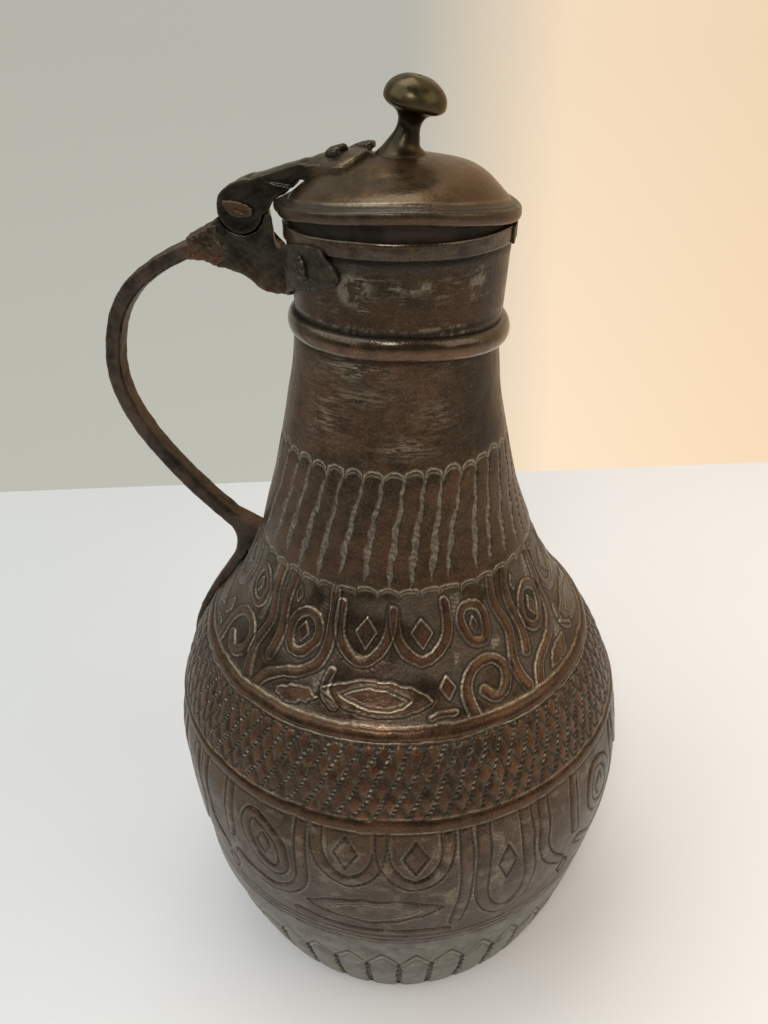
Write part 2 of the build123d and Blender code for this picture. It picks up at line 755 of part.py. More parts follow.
# Finial rove: the washer inside the dome that the tenon is peened over
with BuildPart() as finial_rove:
    with BuildSketch(Plane.XY.offset(tenon_foot)):
        Circle(rove_radius)
        Circle(tenon_radius + 0.1, mode=Mode.SUBTRACT)
    extrude(amount=2 * rove_sheet)
    add(dome_inside, mode=Mode.INTERSECT)
finial_rove.part.label = "finial_rove"
export_step(finial_rove.part, "parts/finial_rove.step")


def leaf_points():
    """Outline of the scalloped leaf on the dome, along one side from root to tip."""
    width = leaf_half_width
    length = leaf_root - leaf_tip
    return [(-leaf_root, strap_waist), (-leaf_root + 0.14 * length, 0.62 * width),
            (-leaf_root + 0.34 * length, 0.93 * width), (-leaf_root + 0.48 * length, 0.86 * width),
            (-leaf_root + 0.66 * length, 0.95 * width), (-leaf_root + 0.84 * length, 0.52 * width),
            (-leaf_tip, 0)]


# Leaf: the scalloped plate that lies on the dome
leaf_skin = dome_core(leaf_sheet)
with BuildPart() as leaf:
    with BuildSketch(Plane.XY.offset(dome_foot)):
        with BuildLine():
            side_line = Spline(*leaf_points())
            mirror(side_line, about=Plane.XZ)
            Line((-leaf_root, strap_waist), (-leaf_root, -strap_waist))
        make_face()
    extrude(amount=dome_rise + 10)
    add(leaf_skin, mode=Mode.INTERSECT)

# Fork: two eyes and the thick bar over the lid's edge, narrowed towards the leaf
with BuildPart() as fork:
    with BuildSketch(Plane.XZ.offset(-fork_half_width)):
        with Locations((-hinge_reach, hinge_height)):
            Circle(eye_radius)
        with BuildLine():
            eye_top = (-hinge_reach, hinge_height + eye_radius)
            bar_reach = strap_rivet_radii[0] + strap_rivet_head + 0.5
            bar_end = (-bar_reach, dome_plane(bar_reach).origin.Z + leaf_sheet)
            upper_mid = (-share(hinge_reach, bar_reach, 0.39), share(eye_top[1], bar_end[1], 0.37))
            Spline(eye_top, upper_mid, bar_end)
            Polyline(bar_end, (bar_end[0], dome_foot), (-dome_foot_radius + 2, dome_foot + 1),
                     (-dome_foot_radius - 1.2, dome_foot + 1.4),
                     (-dome_foot_radius - edge_proud - 2.6, dome_foot + 0.4),
                     (-hinge_reach + eye_radius - 1.2, hinge_height + 4.6), (-hinge_reach, hinge_height), eye_top)
        make_face()
    extrude(amount=2 * fork_half_width)
    with BuildSketch(Plane.XY.offset(hinge_height - 2 * eye_radius)):
        with BuildLine():
            half = [(-hinge_reach - 2 * eye_radius, fork_half_width), (-hinge_reach + eye_radius, fork_half_width),
                    (-leaf_root, strap_waist), (-leaf_tip, strap_waist)]
            Polyline(*half, *[(x, -y) for x, y in reversed(half)], close=True)
        make_face()
    extrude(amount=4 * eye_radius, mode=Mode.INTERSECT)
    with BuildSketch(Plane.XZ.offset(-lug_width / 2 - side_gap)):
        with Locations((-hinge_reach, hinge_height)):
            Circle(eye_radius)
    extrude(amount=lug_width + 2 * side_gap, mode=Mode.SUBTRACT)

# Hinge strap: fork and leaf are one forging
with BuildPart() as hinge_strap:
    add(fork.part)
    add(leaf.part)
    add(dome_skin, mode=Mode.SUBTRACT)
    with BuildSketch(Plane.XZ.offset(-2 * fork_half_width)):
        with Locations((-hinge_reach, hinge_height)):
            Circle(pin_radius + pin_clearance + 0.01)
    extrude(amount=4 * fork_half_width, mode=Mode.SUBTRACT)
    add(strap_holes, mode=Mode.SUBTRACT)
hinge_strap.part.label = "hinge_strap"
export_step(hinge_strap.part, "parts/hinge_strap.step")

strap_rivet_group = [head_rivet(plane.offset(-lid_sheet), lid_sheet + leaf_sheet, strap_rivet_shank,
                                strap_rivet_head, strap_rivet_dome, 3.2) for plane in strap_planes]

# Strap rivets, one group of two
with BuildPart() as strap_rivets:
    add(strap_rivet_group)
strap_rivets.part.label = "strap_rivets"
export_step(strap_rivets.part, "parts/strap_rivets.step")
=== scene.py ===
import bpy
import math
import numpy as np
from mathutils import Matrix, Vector


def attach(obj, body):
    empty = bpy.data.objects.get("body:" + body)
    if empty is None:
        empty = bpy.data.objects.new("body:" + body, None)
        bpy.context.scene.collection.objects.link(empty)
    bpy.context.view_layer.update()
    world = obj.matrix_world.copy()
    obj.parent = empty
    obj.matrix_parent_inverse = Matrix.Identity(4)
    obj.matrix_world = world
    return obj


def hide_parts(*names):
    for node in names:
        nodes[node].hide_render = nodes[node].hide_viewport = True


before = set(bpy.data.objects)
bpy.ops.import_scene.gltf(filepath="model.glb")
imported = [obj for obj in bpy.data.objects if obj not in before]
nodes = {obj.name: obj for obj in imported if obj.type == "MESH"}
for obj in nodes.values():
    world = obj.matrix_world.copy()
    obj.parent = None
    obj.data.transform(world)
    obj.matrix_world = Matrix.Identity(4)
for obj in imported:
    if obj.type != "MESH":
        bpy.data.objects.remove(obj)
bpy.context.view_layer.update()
MM = 0.001
TAU = 2 * math.pi
coarse = 1
FRONT = math.radians(280)      # azimuth of the side that faces the camera
RIGHT = FRONT + math.pi / 2
SKY_HIGH = 420                 # mm, over every height that noise is asked for
FAR = 99.0                     # mm, a distance that counts as off a line

# Sizes shared with the CAD in mm, and the wall's shape as shares of height and radius
FOOT_R, BELLY_R, BELLY_Z, NECK_R, WALL_TOP = 89.5, 115.0, 118.0, 42.3, 336.25
LOWER_SHAPE = [(0.21, 0.37), (0.65, 0.865)]
SHOULDER_SHAPE = [(0.156, 0.911), (0.284, 0.732), (0.399, 0.484), (0.513, 0.306),
                  (0.632, 0.196), (0.751, 0.113), (0.865, 0.042), (0.960, 0.006)]
SHEET = 1.4
SEAM_Z, SEAM_GAP = 183.4, 0.05
COLLAR_FOOT, BAND_FOOT, RIM_Z = 336.35, 368.5, 374.5
MOUTH_R = 44.6
DOME_R, DOME_CENTRE = 66.9, 331.3


def step(low, high, x):
    """Smooth step from 0 at low to 1 at high."""
    t = np.clip((x - low) / (high - low), 0, 1)
    return t * t * (3 - 2 * t)


def bump(distance, width):
    """Bell of height 1."""
    return np.exp(-(distance / width) ** 2)


def smooth_line(points, per=10, start=None, end=None, closed=False):
    """Points along a smooth curve through points, with chord lengths as its parameters."""
    p = np.array(points, float)
    if closed:
        p = np.vstack([p[-3:], p, p[:3]])
    h = np.maximum(np.linalg.norm(np.diff(p, axis=0), axis=1), 1e-6)
    d = np.diff(p, axis=0) / h[:, None]
    n = len(p)
    a, b = np.zeros((n, n)), np.zeros((n, 2))
    for i in range(1, n - 1):
        a[i, i - 1], a[i, i], a[i, i + 1] = h[i], 2 * (h[i - 1] + h[i]), h[i - 1]
        b[i] = 3 * (h[i] * d[i - 1] + h[i - 1] * d[i])
    a[0, 0], a[-1, -1] = 1, 1
    if start is None:
        a[0, :2], b[0] = (2, 1), 3 * d[0]
    else:
        b[0] = np.array(start) / np.linalg.norm(start)
    if end is None:
        a[-1, -2:], b[-1] = (1, 2), 3 * d[-1]
    else:
        b[-1] = np.array(end) / np.linalg.norm(end)
    m = np.linalg.solve(a, b)
    out = []
    for i in range(n - 1):
        t = np.linspace(0, 1, per, endpoint=False)[:, None]
        out.append((2 * t ** 3 - 3 * t ** 2 + 1) * p[i] + (t ** 3 - 2 * t ** 2 + t) * h[i] * m[i]
                   + (3 * t ** 2 - 2 * t ** 3) * p[i + 1] + (t ** 3 - t ** 2) * h[i] * m[i + 1])
    out = np.vstack(out + [p[-1:]])
    if closed:
        out = out[3 * per:-3 * per]
        out = np.vstack([out, out[:1]])
    return out


def run_of(line):
    """Way along a line at each of its points."""
    return np.concatenate([[0], np.cumsum(np.linalg.norm(np.diff(line, axis=0), axis=1))])


def even(line, gap):
    """The same curve with points about a gap apart."""
    run = run_of(line)
    count = max(2, int(round(run[-1] / gap)) + 1)
    at = np.linspace(0, run[-1], count)
    return np.column_stack([np.interp(at, run, line[:, k]) for k in range(line.shape[1])])


def noise(theta, z, around, tall, seed):
    """Smooth noise from -1 to 1: cells of tall mm in height, and a whole number of them around."""
    rng = np.random.default_rng(seed)
    rows = int(SKY_HIGH / tall) + 3
    grid = rng.uniform(-1, 1, (rows, around))
    u = (theta / TAU % 1) * around
    v = np.clip(z / tall, 0, rows - 2.001)
    i, j = np.floor(u).astype(int), np.floor(v).astype(int)
    s, t = u - i, v - j
    s, t = s * s * (3 - 2 * s), t * t * (3 - 2 * t)
    i0, i1 = i % around, (i + 1) % around
    return ((grid[j, i0] * (1 - s) + grid[j, i1] * s) * (1 - t)
            + (grid[j + 1, i0] * (1 - s) + grid[j + 1, i1] * s) * t)


def wrap(angle):
    """The same angle from -pi to pi."""
    return (angle + math.pi) % TAU - math.pi


def near(theta, degrees, width):
    """Bell round an azimuth, with its width in radians."""
    return bump(wrap(theta - math.radians(degrees)), width)


def front(theta, power=1.0):
    """1 at the side that faces the camera, 0 at the far half."""
    return np.clip(np.cos(theta - FRONT), 0, 1) ** power


def right(theta, power=1.0):
    """1 at the right of the photograph, 0 at the left half."""
    return np.clip(np.cos(theta - RIGHT), 0, 1) ** power


def left(theta):
    return right(theta + math.pi)


def boxed(u, v, line, reach=0.0):
    """Which points lie in the box round a line."""
    low, high = line.min(0) - reach, line.max(0) + reach
    return np.nonzero((u > low[0]) & (u < high[0]) & (v > low[1]) & (v < high[1]))[0]


def to_line(u, v, line, reach):
    """Distance of each point to a line and the way along it, out to a reach."""
    far, along = np.full(u.shape, FAR), np.zeros(u.shape)
    close = boxed(u, v, line, reach)
    pu, pv = u[close], v[close]
    best, best_along, run = np.full(len(close), FAR), np.zeros(len(close)), 0.0
    for (au, av), (bu, bv) in zip(line[:-1], line[1:]):
        du, dv = bu - au, bv - av
        size = math.hypot(du, dv)
        if size < 1e-9:
            continue
        t = np.clip(((pu - au) * du + (pv - av) * dv) / size ** 2, 0, 1)
        d = np.hypot(pu - au - t * du, pv - av - t * dv)
        closer = d < best
        best[closer] = d[closer]
        best_along[closer] = (run + t * size)[closer]
        run += size
    far[close] = best
    along[close] = best_along
    return far, along


def link(thing):
    """Puts an object in the scene."""
    bpy.context.scene.collection.objects.link(thing)
    return thing


def mesh_piece(name, points, faces, material, body, replaced=(), slot=None, marks=None, sharp=None):
    """A piece from points in mm and quads or triangles, on a body."""
    mesh = bpy.data.meshes.new(name)
    points = np.asarray(points, float) * MM
    faces = [np.asarray(f, np.int32) for f in (faces if isinstance(faces, list) else [faces])]
    mesh.vertices.add(len(points))
    mesh.vertices.foreach_set("co", points.astype(np.float32).ravel())
    corners = np.concatenate([f.ravel() for f in faces])
    totals = np.concatenate([np.full(len(f), f.shape[1]) for f in faces])
    starts = np.concatenate([[0], np.cumsum(totals)[:-1]])
    mesh.loops.add(len(corners))
    mesh.loops.foreach_set("vertex_index", corners)
    mesh.polygons.add(len(totals))
    mesh.polygons.foreach_set("loop_start", starts.astype(np.int32))
    mesh.polygons.foreach_set("loop_total", totals.astype(np.int32))
    mesh.polygons.foreach_set("use_smooth", np.ones(len(totals), bool))
    mesh.update(calc_edges=True)
    mesh.validate()
    for mark, values in (marks or {}).items():
        attribute = mesh.attributes.new(mark, "FLOAT", "POINT")
        attribute.data.foreach_set("value", np.asarray(values, np.float32).ravel())
    if sharp:
        mesh.set_sharp_from_angle(angle=math.radians(sharp))
    piece = link(bpy.data.objects.new(name, mesh))
    mesh.materials.append(material)
    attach(piece, body)
    if replaced:
        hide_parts(*replaced)


def ring_faces(rows, columns, closed_rows):
    """Quads of a grid whose columns go round and whose rows may too."""
    i = np.arange(rows if closed_rows else rows - 1)[:, None]
    j = np.arange(columns)[None, :]
    i1, j1 = (i + 1) % rows, (j + 1) % columns
    return np.stack([i * columns + j, i * columns + j1, i1 * columns + j1, i1 * columns + j],
                    -1).reshape(-1, 4)


def lathe(name, profile, material, body, count=256, warp=None, stain=None, **more):
    """A turned piece from a closed profile of (radius, height), anticlockwise and off the axis."""
    profile = np.asarray(profile, float)
    theta = np.arange(count) / count * TAU
    t, r = np.meshgrid(theta, profile[:, 0])
    z = np.repeat(profile[:, 1][:, None], count, 1)
    if stain:
        more["marks"] = stain(t, r, z)
    if warp:
        r, z = warp(t, r, z)
    points = np.stack([r * np.cos(t), r * np.sin(t), z], -1).reshape(-1, 3)
    mesh_piece(name, points, ring_faces(len(profile), count, True), material, body, **more)


def waves(points, size, seed):
    """Smooth lumps in space, mostly from -1 to 1."""
    rng = np.random.default_rng(seed)
    way = rng.normal(size=(16, 3))
    way *= (TAU / size * rng.uniform(0.6, 1.5, 16) / np.linalg.norm(way, axis=1))[:, None]
    return np.sin(points @ way.T + rng.uniform(0, TAU, 16)).sum(1) / 4


def loft(sections):
    """Closed solid through closed sections that have the same count of points."""
    s = np.asarray(sections, float)
    rows, columns, _ = s.shape
    quads = [tuple(q) for q in ring_faces(rows, columns, False).tolist()]
    ends = [tuple(range(columns)), tuple(range((rows - 1) * columns, rows * columns))]
    return s.reshape(-1, 3), quads + ends


def prism(outline, low, high):
    """Closed solid across the handle's plane, from an outline of (x, z) and its two values of y."""
    x, z = np.asarray(outline, float).T
    return loft([np.column_stack([x, np.full(len(x), y), z]) for y in (low, high)])


def read(items, key, width, kind=np.float32):
    """A mesh list's values as an array."""
    values = np.empty(len(items) * (1 if key == "vertex_index" else width), kind)
    items.foreach_get(key, values)
    return values.reshape(-1, width)


def solid_of(node):
    """Points in mm and faces of a CAD node."""
    mesh = nodes[node].data
    matrix = np.array(nodes[node].matrix_world)
    points = read(mesh.vertices, "co", 3) @ matrix[:3, :3].T + matrix[:3, 3]
    return points / MM, [tuple(p.vertices) for p in mesh.polygons]


LUMP, SMALL_LUMP = 8, 2.8      # mm, the lumps of a forged skin
SPREAD, MARK_GAIN, MARK_FLOOR = 4, 14, 0.15    # how bent places turn into marks


def clay(name, solids, voxel, soften, lumps, seed, material, body, bend=None, paint=None, **more):
    """A forged or cast piece: closed shapes run together, with softened edges and a lumpy skin."""
    points, faces, start = [], [], 0
    for p, f in solids:
        points.append(p)
        faces += [tuple(start + i for i in face) for face in f]
        start += len(p)
    raw = bpy.data.meshes.new(name + "_raw")
    raw.from_pydata((np.vstack(points) * MM).tolist(), [], faces)
    work = link(bpy.data.objects.new(name + "_raw", raw))
    remesh = work.modifiers.new("together", "REMESH")
    remesh.mode, remesh.voxel_size = "VOXEL", voxel * MM
    smooth = work.modifiers.new("soften", "SMOOTH")
    smooth.factor, smooth.iterations = 0.5, soften
    graph = bpy.context.evaluated_depsgraph_get()
    made = bpy.data.meshes.new_from_object(work.evaluated_get(graph))
    bpy.data.objects.remove(work)
    p = read(made.vertices, "co", 3) / MM
    n = read(made.vertices, "normal", 3)
    quads = read(made.loops, "vertex_index", 4, np.int32)
    one, two = read(made.edges, "vertices", 2, np.int32).T
    count = np.bincount(one, minlength=len(p)) + np.bincount(two, minlength=len(p))

    def neighbours(values):
        """Mean of the neighbours' values."""
        return (np.bincount(one, values[two], len(p)) + np.bincount(two, values[one], len(p))) / count

    p = p + n * (lumps * (waves(p, LUMP, seed) + 0.4 * waves(p, SMALL_LUMP, seed + 1)))[:, None]
    convex = sum((p[:, k] - neighbours(p[:, k])) * n[:, k] for k in range(3)) / voxel
    for _ in range(SPREAD):
        convex = neighbours(convex)
    if bend:
        p = bend(p)
    # Convex places get the worn-edge mark; hollows get a mark of painted shade.
    marks = {mark: np.clip(sign * convex * MARK_GAIN - MARK_FLOOR, 0, 1)
             for mark, sign in (("edge", 1), ("hollow_shade", -1))}
    if paint:
        marks["warm"] = np.clip(paint(*p.T), 0, 1)
    mesh_piece(name, p, quads, material, body, marks=marks, **more)


class Nodes:
    """A small writer of node trees."""

    def __init__(self, owner):
        owner.use_nodes = True
        self.owner, self.tree = owner, owner.node_tree
        self.tree.nodes.clear()

    def put(self, socket, value):
        """Links a socket, or sets it."""
        if isinstance(value, bpy.types.NodeSocket):
            self.tree.links.new(value, socket)
        else:
            socket.default_value = (*value, 1) if socket.type == "RGBA" else value

    def add(self, kind, inputs, **settings):
        node = self.tree.nodes.new("ShaderNode" + kind)
        for key, value in settings.items():
            setattr(node, key, value)
        for key, value in inputs.items():
            self.put(node.inputs[key], value)
        return node

    def math(self, kind, *values, clamp=False):
        return self.add("Math", dict(enumerate(values)), operation=kind, use_clamp=clamp).outputs[0]

    def times(self, a, b):
        return self.math("MULTIPLY", a, b)

    def plus(self, a, b, clamp=False):
        return self.math("ADD", a, b, clamp=clamp)

    def ramp(self, value, low, high, to_low=0.0, to_high=1.0, kind="SMOOTHSTEP"):
        values = dict(enumerate((value, low, high, to_low, to_high)))
        return self.add("MapRange", values, interpolation_type=kind).outputs[0]


class Shader(Nodes):
    """A node material."""

    def __init__(self, name):
        super().__init__(bpy.data.materials.new(name))
        self.main = self.add("BsdfPrincipled", {})
        self.add("OutputMaterial", {0: self.main.outputs[0]})
        self.place = self.add("TexCoord", {}).outputs["Object"]

    def mix(self, share, a, b):
        return self.add("Mix", {"Factor": share, 6: a, 7: b}, data_type="RGBA").outputs[2]

    def grain(self, scale, detail=3.0, rough=0.55, stretch=(1, 1, 1), distort=0.0, shift=(0, 0, 0)):
        """Noise in the object's own space."""
        at = self.add("Mapping", {0: self.place, "Scale": stretch, "Location": shift}).outputs[0]
        return self.add("TexNoise", {"Vector": at, "Scale": scale, "Detail": detail, "Roughness": rough,
                                     "Distortion": distort}).outputs[0]

    def mark(self, name):
        """A value that the mesh stores."""
        return self.add("Attribute", {}, attribute_name=name).outputs["Fac"]

    def bump(self, height, strength, distance):
        values = {"Strength": strength, "Distance": distance, "Height": height}
        return self.add("Bump", values).outputs[0]

    def finish(self, **sockets):
        for key, value in sockets.items():
            self.put(self.main.inputs[key.replace("_", " ")], value)
        return self.owner


BROWN_DARK, BROWN = (0.030, 0.020, 0.010), (0.082, 0.051, 0.023)
BROWN_RED, RED = (0.115, 0.057, 0.025), (0.140, 0.060, 0.030)
# The near-black colour is soot in specks and painted shade in dark places and hollows.
GREEN_GREY, SOOT_AND_SHADE = (0.052, 0.046, 0.032), (0.009, 0.008, 0.006)
# The second colour below is for bright lines: partly worn metal and tin, partly painted glints on
# ridges and edges.
TIN, WEAR_AND_GLINT = (0.245, 0.215, 0.150), (0.46, 0.41, 0.30)
MAUVE_TIN = (0.066, 0.055, 0.050), (0.118, 0.101, 0.094)
PALE_TIN = (0.115, 0.116, 0.100), (0.205, 0.208, 0.182)
STREAKS = (120, 120, 850)      # noise scale: level streaks


def copper(name, red=0.35, residue=0.5, dull=0.30, mottling=1.0, edge_tint=(0.93, 0.90, 0.87),
           polish=0.0):
    """Old brown copper: mottled, with tin in level streaks, dark hollows that are partly painted shade,
    worn high places and bright lines that are partly painted glints.
    """
    s = Shader(name)
    broad = s.grain(22, 4)
    mottle = s.grain(150, 5, 0.6)
    fine = s.grain(900, 3, 0.6)
    stipple = s.grain(700, 2, 0.5)
    streak = s.grain(1, 5, 0.7, stretch=STREAKS, distort=0.4)
    speck = s.grain(1250, 3, 0.7, shift=(0.9, 0.3, 0.1))
    patches = s.grain(34, 5, 0.65, shift=(0.4, 0.1, 0.7))
    ground, tin, line, dark = s.mark("ground"), s.mark("tin"), s.mark("line"), s.mark("dark")
    tone = s.mix(s.ramp(mottle, 0.5 - 0.2 / mottling, 0.5 + 0.18 / mottling), BROWN_DARK, BROWN)
    tone = s.mix(s.times(s.ramp(broad, 0.42, 0.66), red), tone, BROWN_RED)
    tone = s.mix(s.times(ground, s.ramp(stipple, 0.35, 0.62, 0.30, 1.0)), tone, GREEN_GREY)
    worn = s.times(s.ramp(streak, 0.50, 0.66), s.ramp(patches, 0.44, 0.60))
    residues = s.times(s.mark("residue"), s.ramp(streak, 0.47, 0.57))
    pale = s.plus(s.times(worn, residue), residues, clamp=True)
    tone = s.mix(s.times(s.mark("red"), s.ramp(mottle, 0.3, 0.6, 0.4, 1.0)), tone, RED)
    mauve = s.mix(s.ramp(patches, 0.36, 0.62), *MAUVE_TIN)
    tin_tone = s.mix(s.ramp(tin, 0.68, 0.95), mauve, s.mix(s.ramp(mottle, 0.3, 0.7), *PALE_TIN))
    tone = s.mix(s.times(tin, s.ramp(mottle, 0.30, 0.60, 0.65, 1.0)), tone, tin_tone)
    tone = s.mix(pale, tone, TIN)
    # Bright lines: worn metal and painted glints.
    tone = s.mix(s.times(line, s.ramp(stipple, 0.30, 0.55, 0.5, 1.0)), tone, WEAR_AND_GLINT)
    tone = s.mix(s.ramp(speck, 0.545, 0.66, 0.0, 0.55 * mottling), tone, SOOT_AND_SHADE)
    tone = s.mix(s.ramp(speck, 0.44, 0.34, 0.0, 0.30 * mottling), tone, TIN)
    # Dark marks: patina and dirt, and painted shade.
    tone = s.mix(dark, tone, SOOT_AND_SHADE)
    rough = s.ramp(mottle, 0.25, 0.75, dull - 0.06, dull + 0.10)
    rough = s.plus(rough, s.times(ground, 0.14), clamp=True)
    height = s.plus(s.times(fine, 0.35), mottle)
    height = s.plus(height, s.times(s.times(ground, stipple), 1.8))
    metal = s.ramp(s.plus(s.times(ground, 0.5), s.times(pale, 0.8)), 0, 1, 0.80, 0.35)
    return s.finish(Base_Color=tone, Metallic=metal, Roughness=rough,
                    Normal=s.bump(height, 0.42, 0.0006), Specular_Tint=edge_tint,
                    Coat_Weight=polish, Coat_Roughness=0.12)


def forged(name, low, high, accent, amount, dull, lumps=0.5, metal=0.7, worn=(0.26, 0.19, 0.13)):
    """Forged or cast metal: mottled between two tones, with patches of a third, worn edges, and soot
    and painted shade in hollows.
    """
    s = Shader(name)
    mottle = s.grain(120, 5, 0.62)
    broad = s.grain(42, 4, 0.6, shift=(0.3, 0.8, 0.2))
    fine = s.grain(800, 3, 0.6)
    tone = s.mix(s.ramp(mottle, 0.32, 0.66), low, high)
    tone = s.mix(s.times(s.ramp(broad, 0.46, 0.60), amount), tone, accent)
    tone = s.mix(s.times(s.mark("warm"), s.ramp(mottle, 0.3, 0.6, 0.55, 1.0)), tone, accent)
    tone = s.mix(s.times(s.mark("edge"), s.ramp(broad, 0.40, 0.62, 0.05, 0.6)), tone, worn)
    # Hollows get painted shade and soot.
    tone = s.mix(s.mark("hollow_shade"), tone, SOOT_AND_SHADE)
    rough = s.ramp(mottle, 0.25, 0.75, dull - 0.08, dull + 0.14)
    height = s.plus(s.times(fine, 0.3), s.plus(mottle, broad))
    return s.finish(Base_Color=tone, Metallic=metal, Roughness=rough,
                    Normal=s.bump(height, lumps, 0.0011), Specular_Tint=(0.82, 0.76, 0.68))


body_copper = copper("body_copper_skin", residue=0.0, edge_tint=(0.86, 0.83, 0.80))
collar_copper = copper("collar_copper_skin", red=0.45, residue=0.55)
lid_copper = copper("lid_copper_skin", red=0.25, residue=0.0, dull=0.29, mottling=0.5,
                    edge_tint=(0.76, 0.69, 0.60), polish=0.12)
edge_copper = copper("edge_copper_skin", red=0.5, residue=0.12, dull=0.19, mottling=0.8,
                     edge_tint=(0.85, 0.81, 0.76), polish=0.35)
dark_copper = forged("dark_copper_skin", (0.014, 0.012, 0.008), (0.040, 0.029, 0.018),
                     (0.085, 0.043, 0.024), 0.6, 0.40)
red_copper = forged("red_copper_skin", (0.018, 0.016, 0.010), (0.045, 0.035, 0.020),
                    (0.105, 0.050, 0.026), 0.25, 0.33, lumps=0.3, worn=(0.095, 0.068, 0.045))
cast_metal = forged("cast_bracket_skin", (0.012, 0.011, 0.007), (0.034, 0.031, 0.020),
                    (0.082, 0.044, 0.025), 0.2, 0.34, worn=(0.11, 0.095, 0.065))
bar_metal = forged("handle_metal_skin", (0.018, 0.015, 0.011), (0.060, 0.045, 0.032),
                   (0.088, 0.058, 0.041), 0.6, 0.38, lumps=0.25, worn=(0.075, 0.058, 0.045))
strap_metal = forged("strap_metal_skin", (0.008, 0.007, 0.005), (0.025, 0.021, 0.014),
                     (0.082, 0.060, 0.038), 0.15, 0.27, lumps=0.25, worn=(0.17, 0.14, 0.10))
brass = forged("knob_brass_skin", (0.030, 0.026, 0.011), (0.062, 0.052, 0.025),
               (0.075, 0.052, 0.027), 0.4, 0.27, lumps=0.08, metal=0.85, worn=(0.10, 0.085, 0.045))
# Painted shade: the lid's flange is near black, as the shade in the gap under the lid's edge.
flange_shade = forged("flange_painted_shade", (0.014, 0.012, 0.010), (0.036, 0.032, 0.027),
                  (0.055, 0.036, 0.025), 0.5, 0.55)

# The wall's outline
outline_points = [(FOOT_R, 0)]
outline_points += [(FOOT_R + (BELLY_R - FOOT_R) * r, BELLY_Z * h) for h, r in LOWER_SHAPE]
outline_points += [(BELLY_R, BELLY_Z)]
outline_points += [(NECK_R + (BELLY_R - NECK_R) * r, BELLY_Z + (WALL_TOP - BELLY_Z) * h)
                   for h, r in SHOULDER_SHAPE]
outline_points += [(NECK_R, WALL_TOP)]
outline = even(smooth_line(outline_points, per=200, start=(0.5, 1), end=(0, 1)), 0.1)
outline_run = run_of(outline)


def run_at(z):
    """Way along the outline at a height."""
    return np.interp(z, outline[:, 1], outline_run)


def radius_at(z):
    return np.interp(z, outline[:, 1], outline[:, 0])


def place_at(run):
    return np.interp(run, outline_run, outline[:, 0]), np.interp(run, outline_run, outline[:, 1])


def outline_at(run):
    """Place and outward normal on the outline at a way along it."""
    (r1, z1), (r0, z0) = place_at(run + 1.0), place_at(run - 1.0)
    size = np.hypot(r1 - r0, z1 - z0)
    return *place_at(run), (z1 - z0) / size, (r0 - r1) / size


# Heights of the wall's bands and lines, from the foot up
PETAL_TIP, FOOT_LINES, LOWER_BAND, LOWER_RIDGE = 53.0, (76.8, 72.9, 69.2), (77.5, 147.0), 150.2
LATTICE, UPPER_RIDGE, UPPER_BAND, SCALLOPS = (153.2, 183.0), 186.0, (188.9, 238.5), 236.4
FLUTES, ARCHES, FLUTE_COUNT = (239.0, 284.5), 284.2, 38

# What the wall's material reads, with its value on the inner face
WALL_MARKS = {"ground": 0.6, "tin": 0.9, "line": 0, "dark": 0.25, "residue": 0.3, "red": 0}


class Relief:
    """Height and colour marks of the chased ornament on a grid of the wall."""

    def __init__(self, theta, z):
        self.theta, self.z = theta.ravel(), z.ravel()
        for field in ("height", *WALL_MARKS):
            setattr(self, field, np.zeros(self.z.shape))
        self.wz = self.z + 0.45 * self.noise(90, 14, 3) + 0.25 * self.noise(260, 5, 4)
        self.wt = self.theta + math.radians(0.25) * self.noise(70, 12, 5)
        self.fine = self.noise(720, 1.1, 6)
        self.away = np.cos(self.theta - FRONT)

    def noise(self, around, tall, seed):
        return noise(self.theta, self.z, around, tall, seed)

    def top(self, mark, value, where=slice(None)):
        """Raises a mark to a value."""
        current = getattr(self, mark)
        current[where] = np.maximum(current[where], value)


def plain_band(w, z0, width):
    """A raised plain band with a chased line along each edge."""
    d = np.abs(w.wz - z0)
    inside = d < width / 2
    w.height += np.where(inside, 0.27 + 0.63 * (1 - (2 * d / width) ** 2), 0)
    for sign in (-1, 1):
        off = w.wz - z0 - sign * (width / 2 + 0.2)
        w.top("line", 0.75 * bump(off, 0.28) * (0.65 + 0.35 * w.noise(160, 3, 11)))
        w.top("dark", 0.7 * bump(off + 1.1, 0.28))
        w.height -= 0.25 * bump(off + 0.9, 0.364)
    for mark in (w.ground, w.tin, w.residue):
        mark[inside] *= 0.2
    w.red[inside] = 0.42 + 0.25 * w.noise(60, 4, 12)[inside]
    w.top("dark", 0.2, inside)


def arches(w, z0, count, rise, phase, bright):
    """A row of small double arches."""
    pitch = TAU / count
    x = ((w.wt - phase) / pitch) % 1 - 0.5
    index = np.floor((w.wt - phase) / pitch).astype(int) % count
    rng = np.random.default_rng(21)
    lift, wide = rng.uniform(-0.7, 0.7, count)[index], rng.uniform(0.86, 1.0, count)[index]
    x = x / wide
    round_part = 1 - (2 * x) ** 2
    arch = z0 + lift + rise * np.sqrt(np.clip(round_part, 0.02, 1))
    steep = rise * 4 * np.abs(x) / np.sqrt(np.clip(round_part, 0.06, 1)) / (pitch * radius_at(z0))
    for gap, share in ((0, 1.0), (1.5, 0.75)):
        d = (w.wz - arch + gap) / np.sqrt(1 + steep ** 2)
        seen = (np.abs(x) < 0.5) * share
        w.top("line", bright * seen * bump(d, 0.42) * (0.75 + 0.25 * w.fine))
        w.height -= 0.28 * seen * bump(d + 0.75, 0.45)
        w.top("dark", 0.6 * seen * bump(d + 0.75, 0.35))


